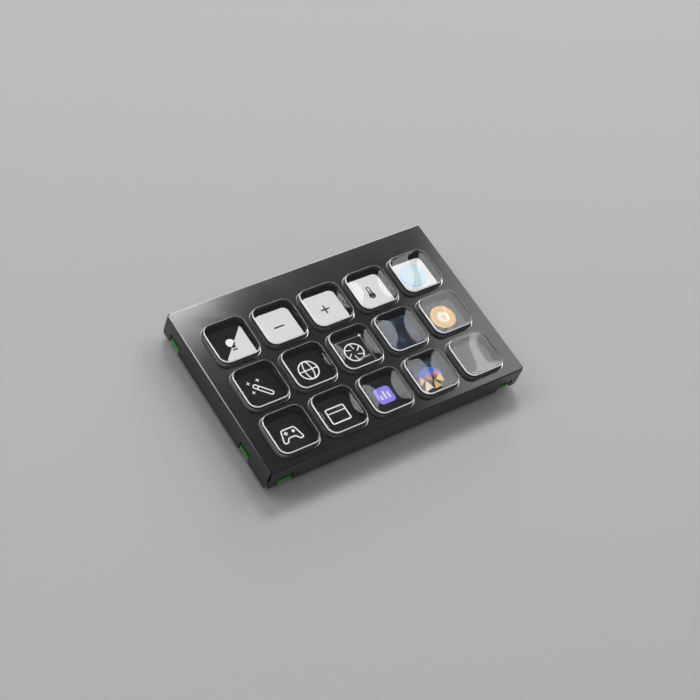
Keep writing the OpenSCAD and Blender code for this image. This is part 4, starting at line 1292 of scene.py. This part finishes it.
def softbox(name, middle, size, turn, radiance, keep_off=(), shape="RECTANGLE"):
    """A level lamp LAMP_HEIGHT over the object. Its middle and size are slopes, x/z and y/z, as
    seen from the object; turn is in degrees about the vertical."""
    at = (middle[0] * LAMP_HEIGHT, middle[1] * LAMP_HEIGHT, PLATE_TOP + LAMP_HEIGHT)
    area_lamp(name, at, (0, 0, np.radians(turn)), np.array(size) * LAMP_HEIGHT, radiance, keep_off, shape)


def standing_panel(name, azimuth, distance, width, low, high, radiance, keep_off):
    """An upright lamp that faces the object from a compass angle, with its face from low to high."""
    a = np.radians(azimuth)
    at = Vector((distance * np.cos(a), distance * np.sin(a), (low + high) / 2))
    facing = (-at).to_track_quat("-Z", "Y").to_euler()
    area_lamp(name, at, facing, (width, high - low), radiance, keep_off)


clear_parts = [bpy.data.objects[kind + key] for key in KEYS for kind in ("clear_cap_", "plate_joint_")]
softbox("side_softbox", (1.058, 0.252), (0.82, 1.1), -20, 3.8, shape="ELLIPSE")
softbox("rear_softbox", (0.315, 0.711), (0.43, 0.278), 0, 22, clear_parts)
softbox("rear_fill", (0.62, 0.8), (0.3, 0.4), 0, 2.5, clear_parts)
softbox("left_softbox", (-0.8, 0.7), (1.4, 0.6), 0, 4)
softbox("front_fill", (-0.35, -0.5), (0.5, 0.6), 0, 2)
standing_panel("edge_panel", 42, 1.9, 1.7, 0.35, 1.25, 2.5, clear_parts)
standing_panel("film_kicker", 175, 1.9, 1.2, 0.2, 0.8, 10, [*clear_parts, cover_sheet, board_copy, floor])
print("lamps:", len(bpy.data.lights))

# %% Air
world = bpy.data.worlds.new("studio_air")
world.use_nodes = True
world.node_tree.nodes["Background"].inputs["Color"].default_value = (0.15, 0.15, 0.153, 1)
bpy.context.scene.world = world

# %% Camera
CAMERA_AT = Vector((-309.74, -246.89, 513.43)) * MM
CAMERA_AIM = Vector((-1.74, -3.18, 13.0)) * MM
CAMERA_ROLL = 23.41
camera_data = bpy.data.cameras.new("camera")
camera_data.sensor_width, camera_data.lens = 36, 91.62
camera = place("camera", camera_data)
look = (CAMERA_AIM - CAMERA_AT).to_track_quat("-Z", "Y").to_matrix()
roll = Matrix.Rotation(np.radians(CAMERA_ROLL), 3, "Z")
camera.matrix_world = Matrix.Translation(CAMERA_AT) @ (look @ roll).to_4x4()
bpy.context.scene.camera = camera
bpy.context.scene.view_settings.view_transform = "Standard"
